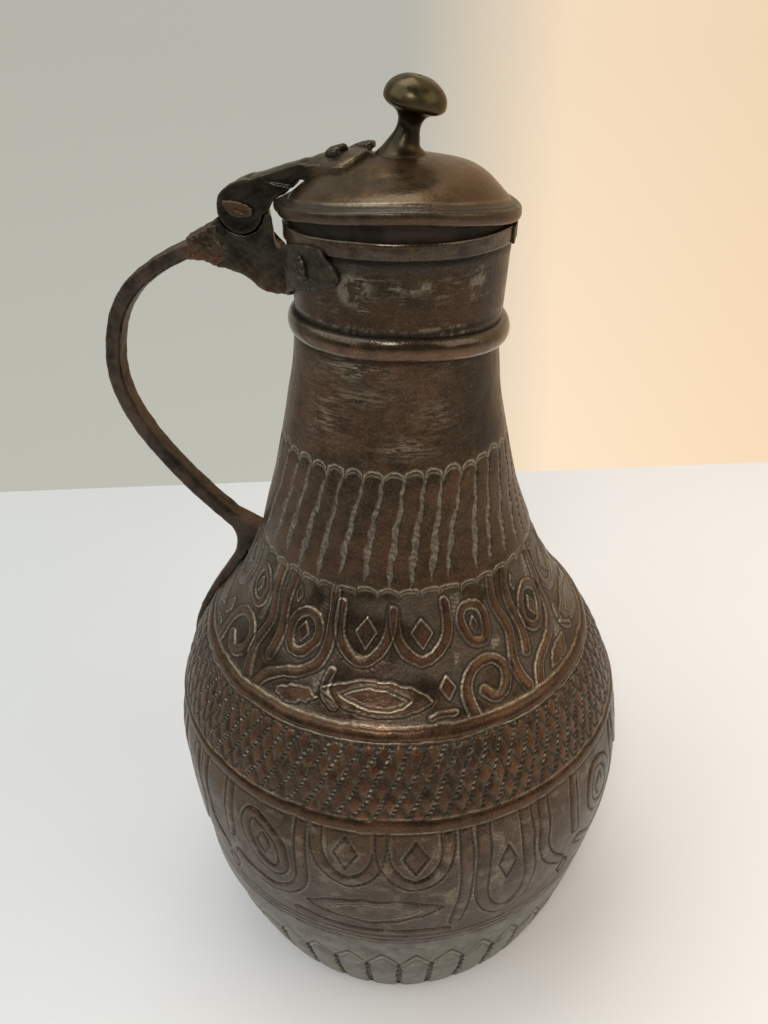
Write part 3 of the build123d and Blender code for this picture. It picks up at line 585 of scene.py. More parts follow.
def flutes(w, z_low, z_top):
    """Slanted chased ropes between the arches and the small scallops below."""
    pitch = TAU / FLUTE_COUNT
    down = np.clip((z_top - w.wz) / (z_top - z_low), 0, 1)
    rng = np.random.default_rng(31)
    for k in range(FLUTE_COUNT):
        centre = FRONT + (k + 0.5) * pitch + rng.uniform(-0.10, 0.10) * pitch
        lean = math.radians(11.5) * (1 + rng.uniform(-0.25, 0.2))
        bend, wide, phase = rng.uniform(-0.2, 0.35), rng.uniform(0.85, 1.2), rng.uniform(0, TAU, 3)
        low_end = z_low + rng.uniform(-0.5, 4.5)
        line = centre - lean * (down + bend * down * (1 - down) * 0.8)
        beside = np.abs(wrap(w.theta - line)) < 0.08
        at = np.nonzero(beside & (w.z < z_top + 2) & (w.z > z_low - 3))[0]
        theta, z = w.theta[at], w.z[at]
        d = wrap(w.wt[at] - line[at]) * radius_at(z)
        d = d + 0.32 * np.sin(z * TAU / 15 + phase[0]) + 0.10 * np.sin(z * TAU / 6 + phase[1])
        d = d + 0.18 * noise(theta, z, 600, 1.6, 33 + k % 5)
        up = np.clip((z - low_end) / (z_top - low_end), 0, 1)
        half = wide * np.interp(up, [0, 0.10, 0.30, 0.55, 0.8, 1.0], [0.1, 0.95, 1.35, 1.0, 0.65, 0.6])
        half = half * (1 + 0.20 * np.sin(z * TAU / 9 + phase[2]))
        ends = step(low_end - 0.6, low_end + 0.4, z) * step(z_top + 0.8, z_top - 0.8, z)
        inside = (1 - step(half - 0.3, half + 0.25, np.abs(d))) * ends
        rope = 0.5 + 0.5 * np.sin(z * TAU / 3.1 + 2.0 * d / half + 3.5 * noise(theta, z, 200, 3.4, 41))
        glint = 0.5 + 0.5 * noise(theta, z, 260, 2.2, 45)
        w.height[at] -= inside * (0.42 - 0.34 * rope)
        w.top("ground", 0.6 * inside, at)
        w.top("tin", 0.55 * inside, at)
        w.top("line", inside * (0.14 + 0.48 * rope * glint), at)
        for off, width, bright, tall, seed in ((d + half + 0.1, 0.32, 0.65, 2.2, 43),
                                               (d - half - 0.2, 0.28, 0.30, 2.0, 44)):
            broken = 0.5 + 0.5 * noise(theta, z, 300, tall, seed)
            w.top("line", bright * ends * bump(off, width) * broken, at)
        w.top("dark", 0.75 * ends * bump(d - half - 0.05, 0.38), at)
    w.red += 0.35 * step(285, 279, w.z) * step(236, 242, w.z) * step(-0.3, 0.6, w.noise(22, 14, 46))


def lattice(w, z_low, z_high):
    """Rows of tall lozenges between chased crossing gaps, beaded along one diagonal."""
    count, tall = 88, 14.6
    v = run_at(w.wz) - run_at(z_low)
    wide = TAU * radius_at(w.z) / count
    u = w.wt / TAU * count + 0.12 * w.noise(88, 9, 51)
    v2 = v / tall + 0.07 * w.noise(120, 8, 52)
    norm = wide * tall / np.hypot(wide, tall)
    a, b = (u - v2) % 1, (u + v2) % 1
    ragged = 0.22 * w.noise(420, 1.8, 53)
    da, db = np.minimum(a, 1 - a) * norm - ragged, np.minimum(b, 1 - b) * norm + ragged
    core = np.minimum(da, db)
    on = step(z_low - 0.2, z_low + 0.8, w.wz) * step(z_high + 0.2, z_high - 0.8, w.wz)
    cut_a, cut_b = on * (1 - step(0.45, 1.15, da)), on * (1 - step(0.30, 0.85, db))
    cut = np.maximum(cut_a, cut_b)
    beads = step(0.0, 0.6, np.sin(v * TAU / 2.1 + 1.6 * w.noise(176, 6, 54)))
    some = step(-0.6, 0.3, w.noise(200, 5, 55))
    w.height += on * (0.25 * step(0.8, 2.2, core) - 0.50 * cut + 0.55 * cut_a * beads * bump(da, 0.65))
    w.top("ground", 0.8 * cut)
    w.top("dark", np.maximum(0.8 * cut_a * (1 - beads), 0.55 * cut_b * (0.75 + 0.25 * w.fine)))
    # Painted glints on the beads, in patches.
    w.top("line", 0.85 * on * beads * some * bump(da, 0.42))
    w.top("line", 0.28 * on * some * bump(da - 1.15, 0.3) * step(-0.1, 0.6, w.fine))
    w.top("line", 0.30 * cut_b * step(0.2, 0.9, w.noise(300, 4, 56)))
    tarnish = on * step(0.15, 0.65, w.noise(75, 8, 58))
    w.top("dark", 0.38 * tarnish * step(0.5, 1.5, core))
    w.top("ground", 0.5 * tarnish)
    w.red += 0.85 * on * step(0.8, 1.8, core) * step(-0.8, 0.3, w.noise(30, 12, 57))


def petals(w, z_tip):
    """Upright pointed petals round the foot, with a double line at the tip and toothed gaps."""
    count, tall, inner = 40, 13.0, 2.6
    pitch = TAU / count
    x = ((w.wt - FRONT) / pitch) % 1 - 0.5
    index = np.floor((w.wt - FRONT) / pitch).astype(int) % count
    lift = np.random.default_rng(61).uniform(-2.2, 2.2, count)[index]
    wide = pitch * radius_at(w.z)
    zig = z_tip + lift - tall * (2 * np.abs(x)) ** 1.15
    above = (w.wz - zig) / np.sqrt(1 + (tall * 2.3 / wide) ** 2)
    edge = (0.5 - np.abs(x)) * wide + 0.35 * w.noise(300, 2.4, 62)
    for d in (above, above + inner):
        w.height -= 0.5 * bump(d, 0.6) * (w.z < z_tip + 6)
    ragged = 0.55 + 0.45 * step(-0.5, 0.3, w.noise(420, 1.7, 63))
    w.top("dark", bump(above, 0.75) * ragged)
    w.top("dark", 0.45 * bump(above + inner, 0.35) * ragged)
    w.top("line", 0.6 * bump(above + 1.2, 0.5) * ragged)
    teeth = np.abs(((w.wz + 2 * w.noise(80, 9, 65)) / 5.2) % 1 - 0.5) * 2
    toothed = (1 - step(0.2 + 1.6 * teeth, 0.6 + 2.1 * teeth, edge)) * (above < -1.5) * (w.wz > 2)
    sides = np.maximum(bump(edge, 0.95) * (w.wz < z_tip - 11), toothed)
    w.height -= 0.9 * sides
    w.top("dark", (0.75 + 0.25 * ragged) * sides)
    w.top("line", 0.6 * bump(edge - 1.8, 0.5) * (above < -1) * ragged)
    inside = step(0.5, 2.5, edge) * (above < -0.5)
    w.height += 0.7 * inside * step(-1, -9, above)
    w.top("tin", above < 0)
    w.top("residue", 0.35 * inside)


def placed(x, y, u, v, turn):
    """Points turned by some degrees and moved to a place."""
    c, s = math.cos(math.radians(turn)), math.sin(math.radians(turn))
    return np.column_stack([u + c * x - s * y, v + s * x + c * y])


def oval(u, v, ru, rv, turn):
    """Closed oval outline."""
    a = np.linspace(0, TAU, 9)[:-1]
    return placed(ru * np.cos(a), rv * np.sin(a), u, v, turn)


def leaf(u, v, length, half, turn):
    """Closed outline of a pointed leaf."""
    t = np.linspace(0, 1, 15)
    x, y = length * (t - 0.5), half * np.sin(math.pi * t) ** 0.85
    return placed(np.append(x, x[-2::-1]), np.append(y, -y[-2::-1]), u, v, turn)


def inside_of(u, v, loop):
    """Which points lie in a closed line."""
    hit = np.zeros(u.shape, bool)
    close = boxed(u, v, loop)
    pu, pv = u[close], v[close]
    odd = np.zeros(len(close), bool)
    for (au, av), (bu, bv) in zip(loop, np.roll(loop, -1, 0)):
        if av != bv:
            cross = ((av > pv) != (bv > pv)) & (pu < (bu - au) * (pv - av) / (bv - av) + au)
            odd ^= cross
    hit[close] = odd
    return hit


class Panel:
    """Invented scroll ornament in a band. Its own units are mm round the wall and mm up it."""

    def __init__(self, w, z_low, z_high, turn, raised):
        self.w, self.turn, self.raised = w, math.radians(turn), raised
        self.span = np.nonzero((w.z > z_low) & (w.z < z_high))[0]
        wz = w.wz[self.span]
        self.v = run_at(wz) - run_at(z_low)
        self.mid = radius_at((z_low + z_high) / 2)
        self.on = step(0, 0.9, np.minimum(wz - z_low, z_high - wz))
        for field in ("cover", "lines", "darks", "cuts", "hatch", "lift"):
            setattr(self, field, np.zeros(len(self.span)))
        specks = self.noise(70, 9, 94) + 0.5 * self.noise(260, 3, 95)
        self.glint = 0.25 + 0.75 * step(-0.5, 0.35, specks)

    def noise(self, around, tall, seed):
        return noise(self.w.theta[self.span], self.w.z[self.span], around, tall, seed)

    def top(self, field, value):
        """Raises a field to a value."""
        setattr(self, field, np.maximum(getattr(self, field), value))

    def draw(self, strokes, seed, amount):
        """Repeats the strokes round the wall, each time with other small errors."""
        for k in range(REPEATS):
            rng = np.random.default_rng(seed + k)
            centre = FRONT + self.turn + k * TAU / REPEATS
            self.u = wrap(self.w.wt[self.span] - centre) * self.mid
            for kind, points, *size in strokes:
                points = np.array(points, float) + rng.normal(0, amount, (len(points), 2))
                getattr(self, kind)(points, *size)

    def edge_lines(self, d, along, half):
        """Chased outline at a distance from a stroke's middle line."""
        beads = 0.5 + 0.5 * np.sin(along * TAU / 2.6)
        broken = step(0.1, 0.5, beads)
        d = d - half
        if self.raised:
            self.top("lines", bump(d - 0.1, 0.28) * (0.6 + 0.4 * broken) * self.glint)
            self.top("darks", np.maximum(0.9 * bump(d - 1.0, 0.45), 0.55 * bump(d + 0.7, 0.3)))
            self.top("cuts", bump(d - 1.0, 0.55))
        else:
            self.top("darks", bump(d, 0.6) * (0.45 + 0.55 * broken))
            self.top("lines", 0.62 * bump(d - 1.1, 0.38) * (0.4 + 0.6 * beads) * self.glint)
            self.top("cuts", 2.0 * bump(d, 0.65))

    def ribbon(self, points, half, closed=False):
        """A raised band along a curve."""
        d, along = to_line(self.u, self.v, smooth_line(points, 8, closed=closed), half + 3)
        self.top("cover", 1 - step(half - 0.2, half + 0.5, d))
        self.top("lift", np.clip(1 - (d / half) ** 2, 0, 1))
        self.edge_lines(d, along, half)

    def ring(self, points, half):
        self.ribbon(points, half, True)

    def solid(self, points, inner=0.0):
        """A raised field with a chased outline, and a second line inside it."""
        d, along = to_line(self.u, self.v, np.vstack([points, points[:1]]), 3)
        within = inside_of(self.u, self.v, points)
        self.top("cover", np.maximum(within, 1 - step(0, 0.5, d)))
        self.edge_lines(np.where(within, -d, d), along, 0)
        if inner:
            middle = points.mean(0)
            small = middle + (points - middle) * inner
            d, along = to_line(self.u, self.v, np.vstack([small, small[:1]]), 3)
            self.top("darks", 0.7 * bump(d, 0.35))
            self.top("lines", 0.6 * bump(d - 0.75, 0.3))
            self.top("cuts", 0.8 * bump(d, 0.45))

    def lozenge(self, points, half_u, half_v):
        u, v = points[0]
        self.solid(np.array([(u, v + half_v), (u + half_u, v), (u, v - half_v), (u - half_u, v)]))

    def hatched(self, points):
        """A patch of fine slanted cuts."""
        lines = 0.5 + 0.5 * np.sin((self.v * 0.9 + self.u * 0.35) * TAU / 1.7)
        within = inside_of(self.u, self.v, points)
        self.top("hatch", within * (0.25 + 0.75 * lines) * self.glint ** 2)

    def press(self, depth, ground):
        """Writes the ornament to the wall."""
        w, at, on = self.w, self.span, self.on
        low = (1 - self.cover) * on
        rough = 0.5 + 0.5 * w.fine[at]
        ridge, red = (0.30, 0.55) if self.raised else (0.1, 0.15)
        sunk = depth * low * (0.8 + 0.2 * rough)
        w.height[at] -= on * (sunk + 0.45 * self.cuts * (0.4 + 0.6 * (1 - low)))
        w.height[at] += on * (0.35 * self.lift + ridge * self.lines)
        broad = step(-0.35, 0.45, self.noise(30, 11, 93))
        w.top("ground", ground * low * broad, at)
        w.top("dark", 0.55 * ground * low * (1 - broad) * (0.6 + 0.4 * rough), at)
        w.red[at] += red * on * self.cover * (0.4 + 0.6 * broad)
        w.top("line", 0.85 * self.lines * on, at)
        w.top("dark", self.darks * on * (0.8 + 0.2 * rough), at)
        w.top("residue", 0.4 * self.hatch * low * on, at)
        w.top("line", 0.36 * self.hatch * low * on, at)


def mirrored(strokes):
    """The strokes, and the same again the other way round."""
    return strokes + [(kind, [(-u, v) for u, v in points], *size) for kind, points, *size in strokes]


REPEATS = 4                    # how often an ornament comes round the wall
UPPER_ORNAMENT = mirrored([
    ("ribbon", [(0.6, 48), (2.8, 34), (12, 26), (21.5, 32), (24, 50)], 2.0),
    ("lozenge", [(11.9, 38.5)], 4.6, 6.4),
]) + [
    ("solid", leaf(-6, 11, 42, 7.4, -4), 0.62),
    ("lozenge", [(20.5, 14)], 2.8, 4.8),
    ("ribbon", [(29, 2), (28, 12), (33.5, 21), (43, 20), (46, 11), (40, 5), (35, 9)], 2.0),
    ("ribbon", [(53.5, 3), (51, 16), (54, 30), (50, 42), (51.5, 56)], 2.1),
    ("ring", oval(37.5, 38, 6.2, 9.0, 14), 1.8),
    ("lozenge", [(37.5, 38)], 1.8, 3.8),
    ("ring", oval(-41, 32, 7.4, 10.0, -18), 1.9),
    ("lozenge", [(-41, 32)], 2.6, 4.6),
    ("ribbon", [(-28.5, 54), (-28, 38), (-31, 22), (-40, 14), (-50, 9), (-54, 1)], 2.0),
    ("ribbon", [(-52, 56), (-54.5, 40), (-52, 26), (-54, 16)], 2.0),
    ("solid", leaf(-37, 5.5, 17, 3.4, 18)),
    ("ribbon", [(-21, 6), (-25, 10), (-24, 20)], 1.3),
    ("ribbon", [(14, 3), (22, 4)], 1.0),
    ("lozenge", [(-48, 47)], 1.8, 3.6),
    ("hatched", [(25, 22), (26, 52), (33, 54), (30, 30)]),
    ("hatched", [(44, 24), (45, 54), (50, 54), (48, 26)]),
    ("hatched", [(-36, 6), (-29, 8), (-26, 20), (-32, 18)]),
    ("hatched", [(-36, 42), (-34, 54), (-30, 54), (-31, 40)]),
]
LOWER_ORNAMENT = mirrored([
    ("ribbon", [(0.6, 70), (3.5, 51), (15, 41), (27, 50), (30, 72)], 2.9),
    ("lozenge", [(15, 58)], 5.4, 8.8),
]) + [
    ("solid", leaf(-4, 21, 64, 9.4, 5), 0.66),
    ("ribbon", [(37, 74), (38.5, 38), (35, 10)], 2.9),
    ("ribbon", [(48, 76), (47, 40), (50, 16), (58.5, 8), (67, 16), (70, 42), (69, 76)], 3.1),
    ("lozenge", [(58.5, 44)], 5.0, 10.4),
    ("ribbon", [(80, 76), (79, 50), (83, 30), (92, 20)], 2.9),
    ("ring", oval(-57, 46, 10, 15.5, 24), 2.7),
    ("lozenge", [(-57, 46)], 4.0, 7.4),
    ("ribbon", [(-36, 76), (-38, 52), (-37, 36), (-46, 21), (-62, 17), (-76, 24)], 2.8),
    ("ribbon", [(-79, 76), (-81, 52), (-80, 36)], 2.6),
    ("ribbon", [(-42, 6), (-20, 3), (6, 4), (30, 3)], 2.3),
    ("lozenge", [(-84, 10)], 4.0, 7.2),
    ("hatched", [(51, 20), (51, 74), (55, 74), (56, 20)]),
    ("hatched", [(-33, 46), (-32, 72), (-24, 72), (-24, 50)]),
    ("hatched", [(24, 18), (32, 16), (33, 38), (28, 34)]),
]


# Azimuth and half width in degrees, height and half width in mm, amount
NECK_TIN = [(259, 17, 327, 4.0, 0.75), (243, 9, 306, 8, 0.55), (287, 14, 297, 4.5, 0.50),
            (301, 8, 309, 5, 0.40), (262, 20, 316, 3.0, 0.35), (60, 20, 320, 6, 0.5),
            (140, 16, 303, 7, 0.5)]


def wall_relief(theta, z):
    """All the chased work on the wall."""
    w = Relief(theta, z)
    plain = step(286, 292, w.z)
    streaky = step(0.0, 0.7, w.noise(14, 11, 9) + 0.5 * bump(w.z - 324, 7))
    w.residue[:] = plain * (0.02 + 0.11 * streaky) + 0.04
    for azimuth, wide, z0, tall, amount in NECK_TIN:
        w.residue += plain * amount * near(w.theta, azimuth, math.radians(wide)) * bump(w.z - z0, tall)
    # Sides of the lower wall as seen from the camera, where a painted reflection goes.
    flank_sheen = step(0.80, 0.35, w.away) * step(150, 128, w.z)
    at_right = np.sin(w.theta - FRONT) > 0
    w.tin[:] = 0.12 + 0.56 * step(146, 108, w.z) + 0.27 * step(80, 62, w.z)
    # Painted reflection: the wall's sides, as seen from the camera, are paler in the tin colour, more
    # so at the right.
    w.tin += 0.38 * step(0.72, 0.25, w.away) * step(246, 222, w.z) * step(60, 100, w.z)
    w.tin += (0.12 + 0.22 * at_right) * flank_sheen * step(60, 90, w.z)
    w.ground[:] = 0.12
    w.red[:] = 0.15 + 0.30 * plain * step(-0.2, 0.6, w.noise(18, 15, 8))
    # Painted shade on the plain neck: a dark band just under the neck ring, and darker towards its
    # right side.
    w.dark[:] = plain * (0.6 * bump(w.z - 330.5, 1.6) + 0.62 * bump(wrap(w.theta - FRONT - 1.05), 0.6))
    w.dark += 0.13 * step(286, 284, w.z) * step(236, 240, w.z)
    w.height += 0.16 * w.noise(26, 16, 1) + 0.07 * w.noise(70, 7, 2)
    flutes(w, *FLUTES)
    arches(w, ARCHES, FLUTE_COUNT, 3.4, FRONT + math.radians(4.74), 0.85)
    lattice(w, *LATTICE)
    upper = Panel(w, *UPPER_BAND, -2, True)
    upper.draw(UPPER_ORNAMENT, 100, 0.35)
    upper.press(0.42, 0.95)
    arches(w, SCALLOPS, 44, 2.4, FRONT, 0.8)
    lower = Panel(w, *LOWER_BAND, -4, False)
    lower.draw(LOWER_ORNAMENT, 200, 0.5)
    lower.press(0.10, 0.45)
    petals(w, PETAL_TIP)
    old_tin = step(148.5, 145, w.z) * step(4, 12, w.z)
    # Painted reflection: a faint pale sheen on the wall's sides.
    w.top("line", (0.05 + 0.06 * at_right) * flank_sheen)
    w.top("dark", 0.30 * old_tin * step(0.15, 0.75, w.noise(60, 8, 47) + 0.4 * w.noise(240, 2.4, 49)))
    w.top("line", 0.17 * old_tin * step(0.25, 0.85, w.noise(130, 4, 48) + 0.3 * w.fine))
    for z0 in FOOT_LINES:
        w.height -= 0.45 * bump(w.wz - z0, 0.6)
        w.top("dark", 0.85 * bump(w.wz - z0, 0.42))
        w.top("line", 0.3 * bump(w.wz - z0 - 0.9, 0.4))
    plain_band(w, UPPER_RIDGE, 5.2)
    plain_band(w, LOWER_RIDGE, 5.6)
    return w


def flank(theta, z):
    """How much the wall's left is fuller than the turned shape, or flatter below."""
    full = 2.0 * step(140, 165, z) * step(268, 240, z)
    flat = 2.8 * step(52, 78, z) * step(138, 112, z) + 2.0 * step(60, 20, z)
    return np.clip(np.cos(theta - math.radians(190)), 0, 1) * (full - flat)


def pushed(r, t, z):
    """Points of the wall with its dents, and with its neck leaning to the left by up to 2 mm."""
    lean = 2.0 * step(232, 262, z) * (1 - 0.4 * step(300, 322, z)) * step(WALL_TOP, 331, z)
    r = r + flank(t, z)
    return np.stack([r * np.cos(t) - lean * math.cos(RIGHT), r * np.sin(t) - lean * math.sin(RIGHT),
                     z + 0 * t], -1).reshape(-1, 3)


def wall_piece(name, node, columns, gaps):
    """One sheet of the wall: its chased outer face, its rims and its plain inner face."""
    top = [run_at(gaps[-1][1])]
    runs = np.concatenate([np.arange(run_at(a), run_at(b), gap) for a, b, gap in gaps] + [top])
    r, z, nr, nz = outline_at(runs)
    theta = np.arange(columns) / columns * TAU
    t, zz = np.meshgrid(theta, z)
    w = wall_relief(t, zz)
    rim = np.minimum(step(0, 1.5, runs - runs[0]), step(0, 1.5, runs[-1] - runs))[:, None]
    height = w.height.reshape(t.shape) * rim
    outer = pushed(r[:, None] + nr[:, None] * height, t, z[:, None] + nz[:, None] * height * rim)
    inner_runs = np.linspace(runs[-1], runs[0], 26)
    ri, zi, nri, nzi = outline_at(inner_runs)
    ri, zi = ri - nri * SHEET, zi - nzi * SHEET
    zi[0], zi[-1] = z[-1], z[0]
    ti, zg = np.meshgrid(theta, zi)
    inner = pushed(ri[:, None], ti, zg)
    marks = {mark: np.clip(np.append(getattr(w, mark), np.full(len(inner), value)), 0, 1)
             for mark, value in WALL_MARKS.items()}
    faces = ring_faces(len(runs) + len(inner_runs), columns, True)
    mesh_piece(name, np.vstack([outer, inner]), faces, body_copper, "jug", [node], "body_copper", marks)


SEAM_LOW, SEAM_HIGH, CALM_Z = SEAM_Z - SEAM_GAP, SEAM_Z + SEAM_GAP, 291.0
wall_piece("lower_body_sheet", "lower_body", 1200 // coarse, [(0.0, SEAM_LOW, 0.62 * coarse)])
wall_piece("upper_body_sheet", "upper_body", 1000 // coarse,
           [(SEAM_HIGH, CALM_Z, 0.5 * coarse), (CALM_Z, WALL_TOP, 1.2 * coarse)])


# Neck ring, collar and rim band
def rim_warp(theta, r, z):
    """The mouth's edge is wavy and a little higher in front."""
    up = step(342, RIM_Z, z)
    return (r + up * 0.25 * noise(theta, z, 16, 12, 72),
            z + up * (0.8 * front(theta, 1.3) + 0.25 * noise(theta, z * 0, 14, 10, 71)))


def ring_drop(theta):
    """The neck ring was soldered on aslant: its right side is lower."""
    return 4.6 * right(theta, 1.5) + 0.9 * left(theta) + 0.5 * front(theta, 2)


def ring_warp(theta, r, z):
    return (r + 0.12 * noise(theta, z, 18, 9, 73),
            z - ring_drop(theta) + 0.25 * noise(theta, z * 0, 12, 9, 74))


def rows_between(points, gap):
    """Profile points filled in so that none are further apart than a gap."""
    out = []
    for a, b in zip(points, points[1:] + points[:1]):
        n = max(1, int(math.ceil(math.dist(a, b) / gap)))
        out += [(a[0] + (b[0] - a[0]) * k / n, a[1] + (b[1] - a[1]) * k / n) for k in range(n)]
    return out


def arc_points(centre, half_r, half_z, start, end, count):
    a = np.radians(np.linspace(start, end, count))
    return [(centre[0] + half_r * math.cos(x), centre[1] + half_z * math.sin(x)) for x in a]


# Azimuth in degrees, half width in radians, height and half width in mm, amount
COLLAR_TIN = [(257, 0.17, 358, 6.5, 1.0), (290, 0.34, 359, 3.4, 0.7), (322, 0.12, 359, 7, 0.8)]


def collar_stain(t, r, z):
    """Blotches and level streaks of old tin, and painted shade over the collar, deeper under the band,
    over the ring and under the wing plates.
    """
    patch = 0.7 * bump(z - 342.7, 1.2) + 0.25 * bump(z - 350, 7)
    for azimuth, wide, z0, tall, amount in COLLAR_TIN:
        patch += amount * near(t, azimuth, wide) * bump(z - z0, tall)
    blots = noise(t, z, 44, 4.2, 76) + 0.8 * noise(t, z, 90, 1.5, 77) + 0.5 * noise(t, z, 260, 0.8, 67)
    ragged = step(-0.15, 0.35, blots - 0.9 * (1 - np.clip(patch, 0, 1)))
    solid = step(-0.05, 0.30, noise(t, z, 70, 2.6, 64) + 0.6 * noise(t, z, 300, 0.9, 63))
    solid = 0.8 * step(0.42, 0.75, patch) * solid
    over_ring = z + ring_drop(t) + 0.3 * noise(t, z * 0, 60, 5, 66)
    seam = 1.4 * np.maximum(near(t, 251, 0.30), 0.9 * near(t, 308, 0.24))
    seam = seam * bump(over_ring - 342.6, 0.55) * step(-0.25, 0.25, noise(t, z, 300, 1.2, 65))
    # Painted shade: under the wing plates, over the whole collar, and deeper under the band and over
    # the ring.
    shade = 0.9 * (near(t, 196, 0.2) + near(t, 153, 0.17)) * step(359, 350, z)
    shade = 0.50 + 0.47 * bump(z - 367.4, 1.3) + 0.5 * bump(z - 341.6, 0.9) + shade
    under_band = 0.9 * bump(z - 365.5, 2.2 + noise(t, z * 0, 60, 5, 70))
    return {"residue": np.clip(patch * ragged, 0, 1),
            "line": np.clip(np.maximum(seam, 0.75 * solid), 0, 1),
            "dark": np.clip(shade, 0, 1),
            "ground": np.clip(0.25 * step(-0.1, 0.5, noise(t, z, 20, 9, 78)) + under_band, 0, 1),
            "red": 0.45 * step(368, 356, z) * step(-0.5, 0.4, noise(t, z, 16, 12, 69))}


def ring_stain(t, r, z):
    """Green-grey upper fillet and a worn lower edge."""
    return {"dark": 0.6 * step(339.9, 340.9, z) + 0.5 * step(332.6, 331.6, z),
            "ground": 0.6 * step(339.0, 340.4, z),
            "line": 0.4 * bump(z - 333.1, 0.4), "red": 0.5 * step(337.5, 335.5, z)}


def band_warp(theta, r, z):
    """The band goes with the mouth's edge, and its outer face is a little uneven."""
    return rim_warp(theta, r + 0.14 * noise(theta, z, 40, 3, 75) * (r > 45.2), z)


def band_stain(t, r, z):
    """Blotched, and dark along its lower edge."""
    return {"dark": 0.15 + 0.45 * step(0.1, 0.6, noise(t, z, 50, 3, 79)) + 0.3 * step(370, 369, z),
            "ground": 0.35 + 0.4 * step(-0.2, 0.5, noise(t, z, 24, 5, 80)),
            "red": 0.25 * step(-0.3, 0.4, noise(t, z, 12, 9, 68))}


COLLAR_IN = 43.2               # inner radius of the collar's rim
lathe("neck_collar_sheet",
      rows_between([(NECK_R, COLLAR_FOOT), (MOUTH_R, BAND_FOOT), (MOUTH_R, RIM_Z - 0.2),
                    (MOUTH_R - 0.3, RIM_Z), (COLLAR_IN + 0.2, RIM_Z), (COLLAR_IN, RIM_Z - 0.3),
                    (COLLAR_IN, BAND_FOOT), (NECK_R - SHEET, COLLAR_FOOT)], 1.0),
      collar_copper, "jug", 480 // coarse, rim_warp, collar_stain, replaced=["neck_collar"],
      slot="body_copper", sharp=45)
lathe("neck_ring_bead",
      [(41.6, 331.5), (43.2, 331.5)] + arc_points((43.0, 336.3), 2.9, 4.6, -80, 80, 25)
      + [(43.2, 341.0), (41.6, 341.0)],
      edge_copper, "jug", 360, ring_warp, ring_stain, replaced=["neck_ring"],
      slot="body_copper", sharp=60)
lathe("rim_band_strip",
      rows_between([(44.75, 368.6), (45.3, 368.5), (45.7, 368.9), (45.75, 371.5), (45.7, 374.1),
                    (45.35, 374.5), (44.8, 374.45)], 0.8),
      edge_copper, "jug", 360, band_warp, band_stain, replaced=["rim_band"],
      slot="body_copper", sharp=50)
lap_rows = []
for k, a in enumerate(np.radians(np.linspace(-11, 1.2, 9))):
    low, high, out = 368.2 + 0.5 * k, 374.3 + 0.2 * k, 46.6 - 0.05 * k
    lap_rows.append([(r * math.cos(a), r * math.sin(a), z)
                     for r, z in ((45.5, low), (out, low), (out + 0.1, high), (45.5, high))])
clay("rim_band_lap", [loft(lap_rows)], 0.22, 2, 0.12, 83, red_copper, "jug",
     paint=lambda x, y, z: 0.6 + 0 * z, slot="body_copper")


# Lid
ROLL_R = 45                    # the dome's edge is rolled outside this radius
FLANGE_FOOT, FLANGE_TOP, FLANGE_R = 366.0, 381.0, 42.9


def lid_warp(theta, r, z):
    """The lid's edge is bent up in front and down a little at the right."""
    rim = step(24, ROLL_R, r)
    lift = 5.2 * front(theta, 1.5) - 1.8 * right(theta, 1.5) - 0.5 * left(theta)
    lift = lift + 0.15 * noise(theta, z * 0, 20, 9, 81)
    swell = 2.6 * right(theta, 1.2) + 0.35 * noise(theta, z * 0 + 40, 9, 9, 84)
    pinch = 1.7 * step(44, 47, r) * near(theta, 188, 0.10)
    return (r + 0.08 * rim * noise(theta, z * 0, 24, 9, 82) + pinch,
            z + rim * lift + bump(r - 33, 11) * swell * (z > 380))


def lid_stain(t, r, z):
    """Dark grey channel between the dome's foot and the reddish roll, and fine lines; painted glints at
    the dome's foot and the roll's lower edge, and painted shade under the roll and on the left.
    """
    top = z > 380.9
    channel = step(42.5, 43.2, r) * step(45.7, 45.2, r) * top
    blots = step(-0.5, 0.2, noise(t, z, 14, 6, 85))
    by_knob = 0.45 * step(15, 8, r) * front(t - 0.15, 0.7) * blots * (z > 388)
    grooves = (0.72 * bump(r - 44.0, 1.2) + 0.35 * bump(r - 45.4, 0.35)) * top
    # Painted shade on the lid's underside, in the gap over the rim.
    below = 0.95 * (z < 376.5) * (r > 42.5)
    # Painted glint along the dome's foot, strongest at the front left.
    foot_glint = (0.25 + 0.35 * near(t, 268, 0.3)) * bump(r - 42.3, 0.3) * top
    return {"ground": 0.95 * channel + 0.25 * step(45.2, 45.8, r),
            # Painted shade on the dome's left side.
            "dark": np.clip(by_knob + grooves + below + 0.22 * (r > ROLL_R) + 0.2 * left(t), 0, 1),
            # Painted glint along the roll's lower edge.
            "line": np.maximum(foot_glint, 0.3 * bump(z - 377.0, 0.3) * (r > ROLL_R)),
            "red": 0.55 * step(45.2, 45.8, r) * step(380.2, 378, z), "tin": 0.15 * step(45.0, 45.8, r)}


def sphere(r, inset=0.0):
    return DOME_CENTRE + math.sqrt((DOME_R - inset) ** 2 - r * r)


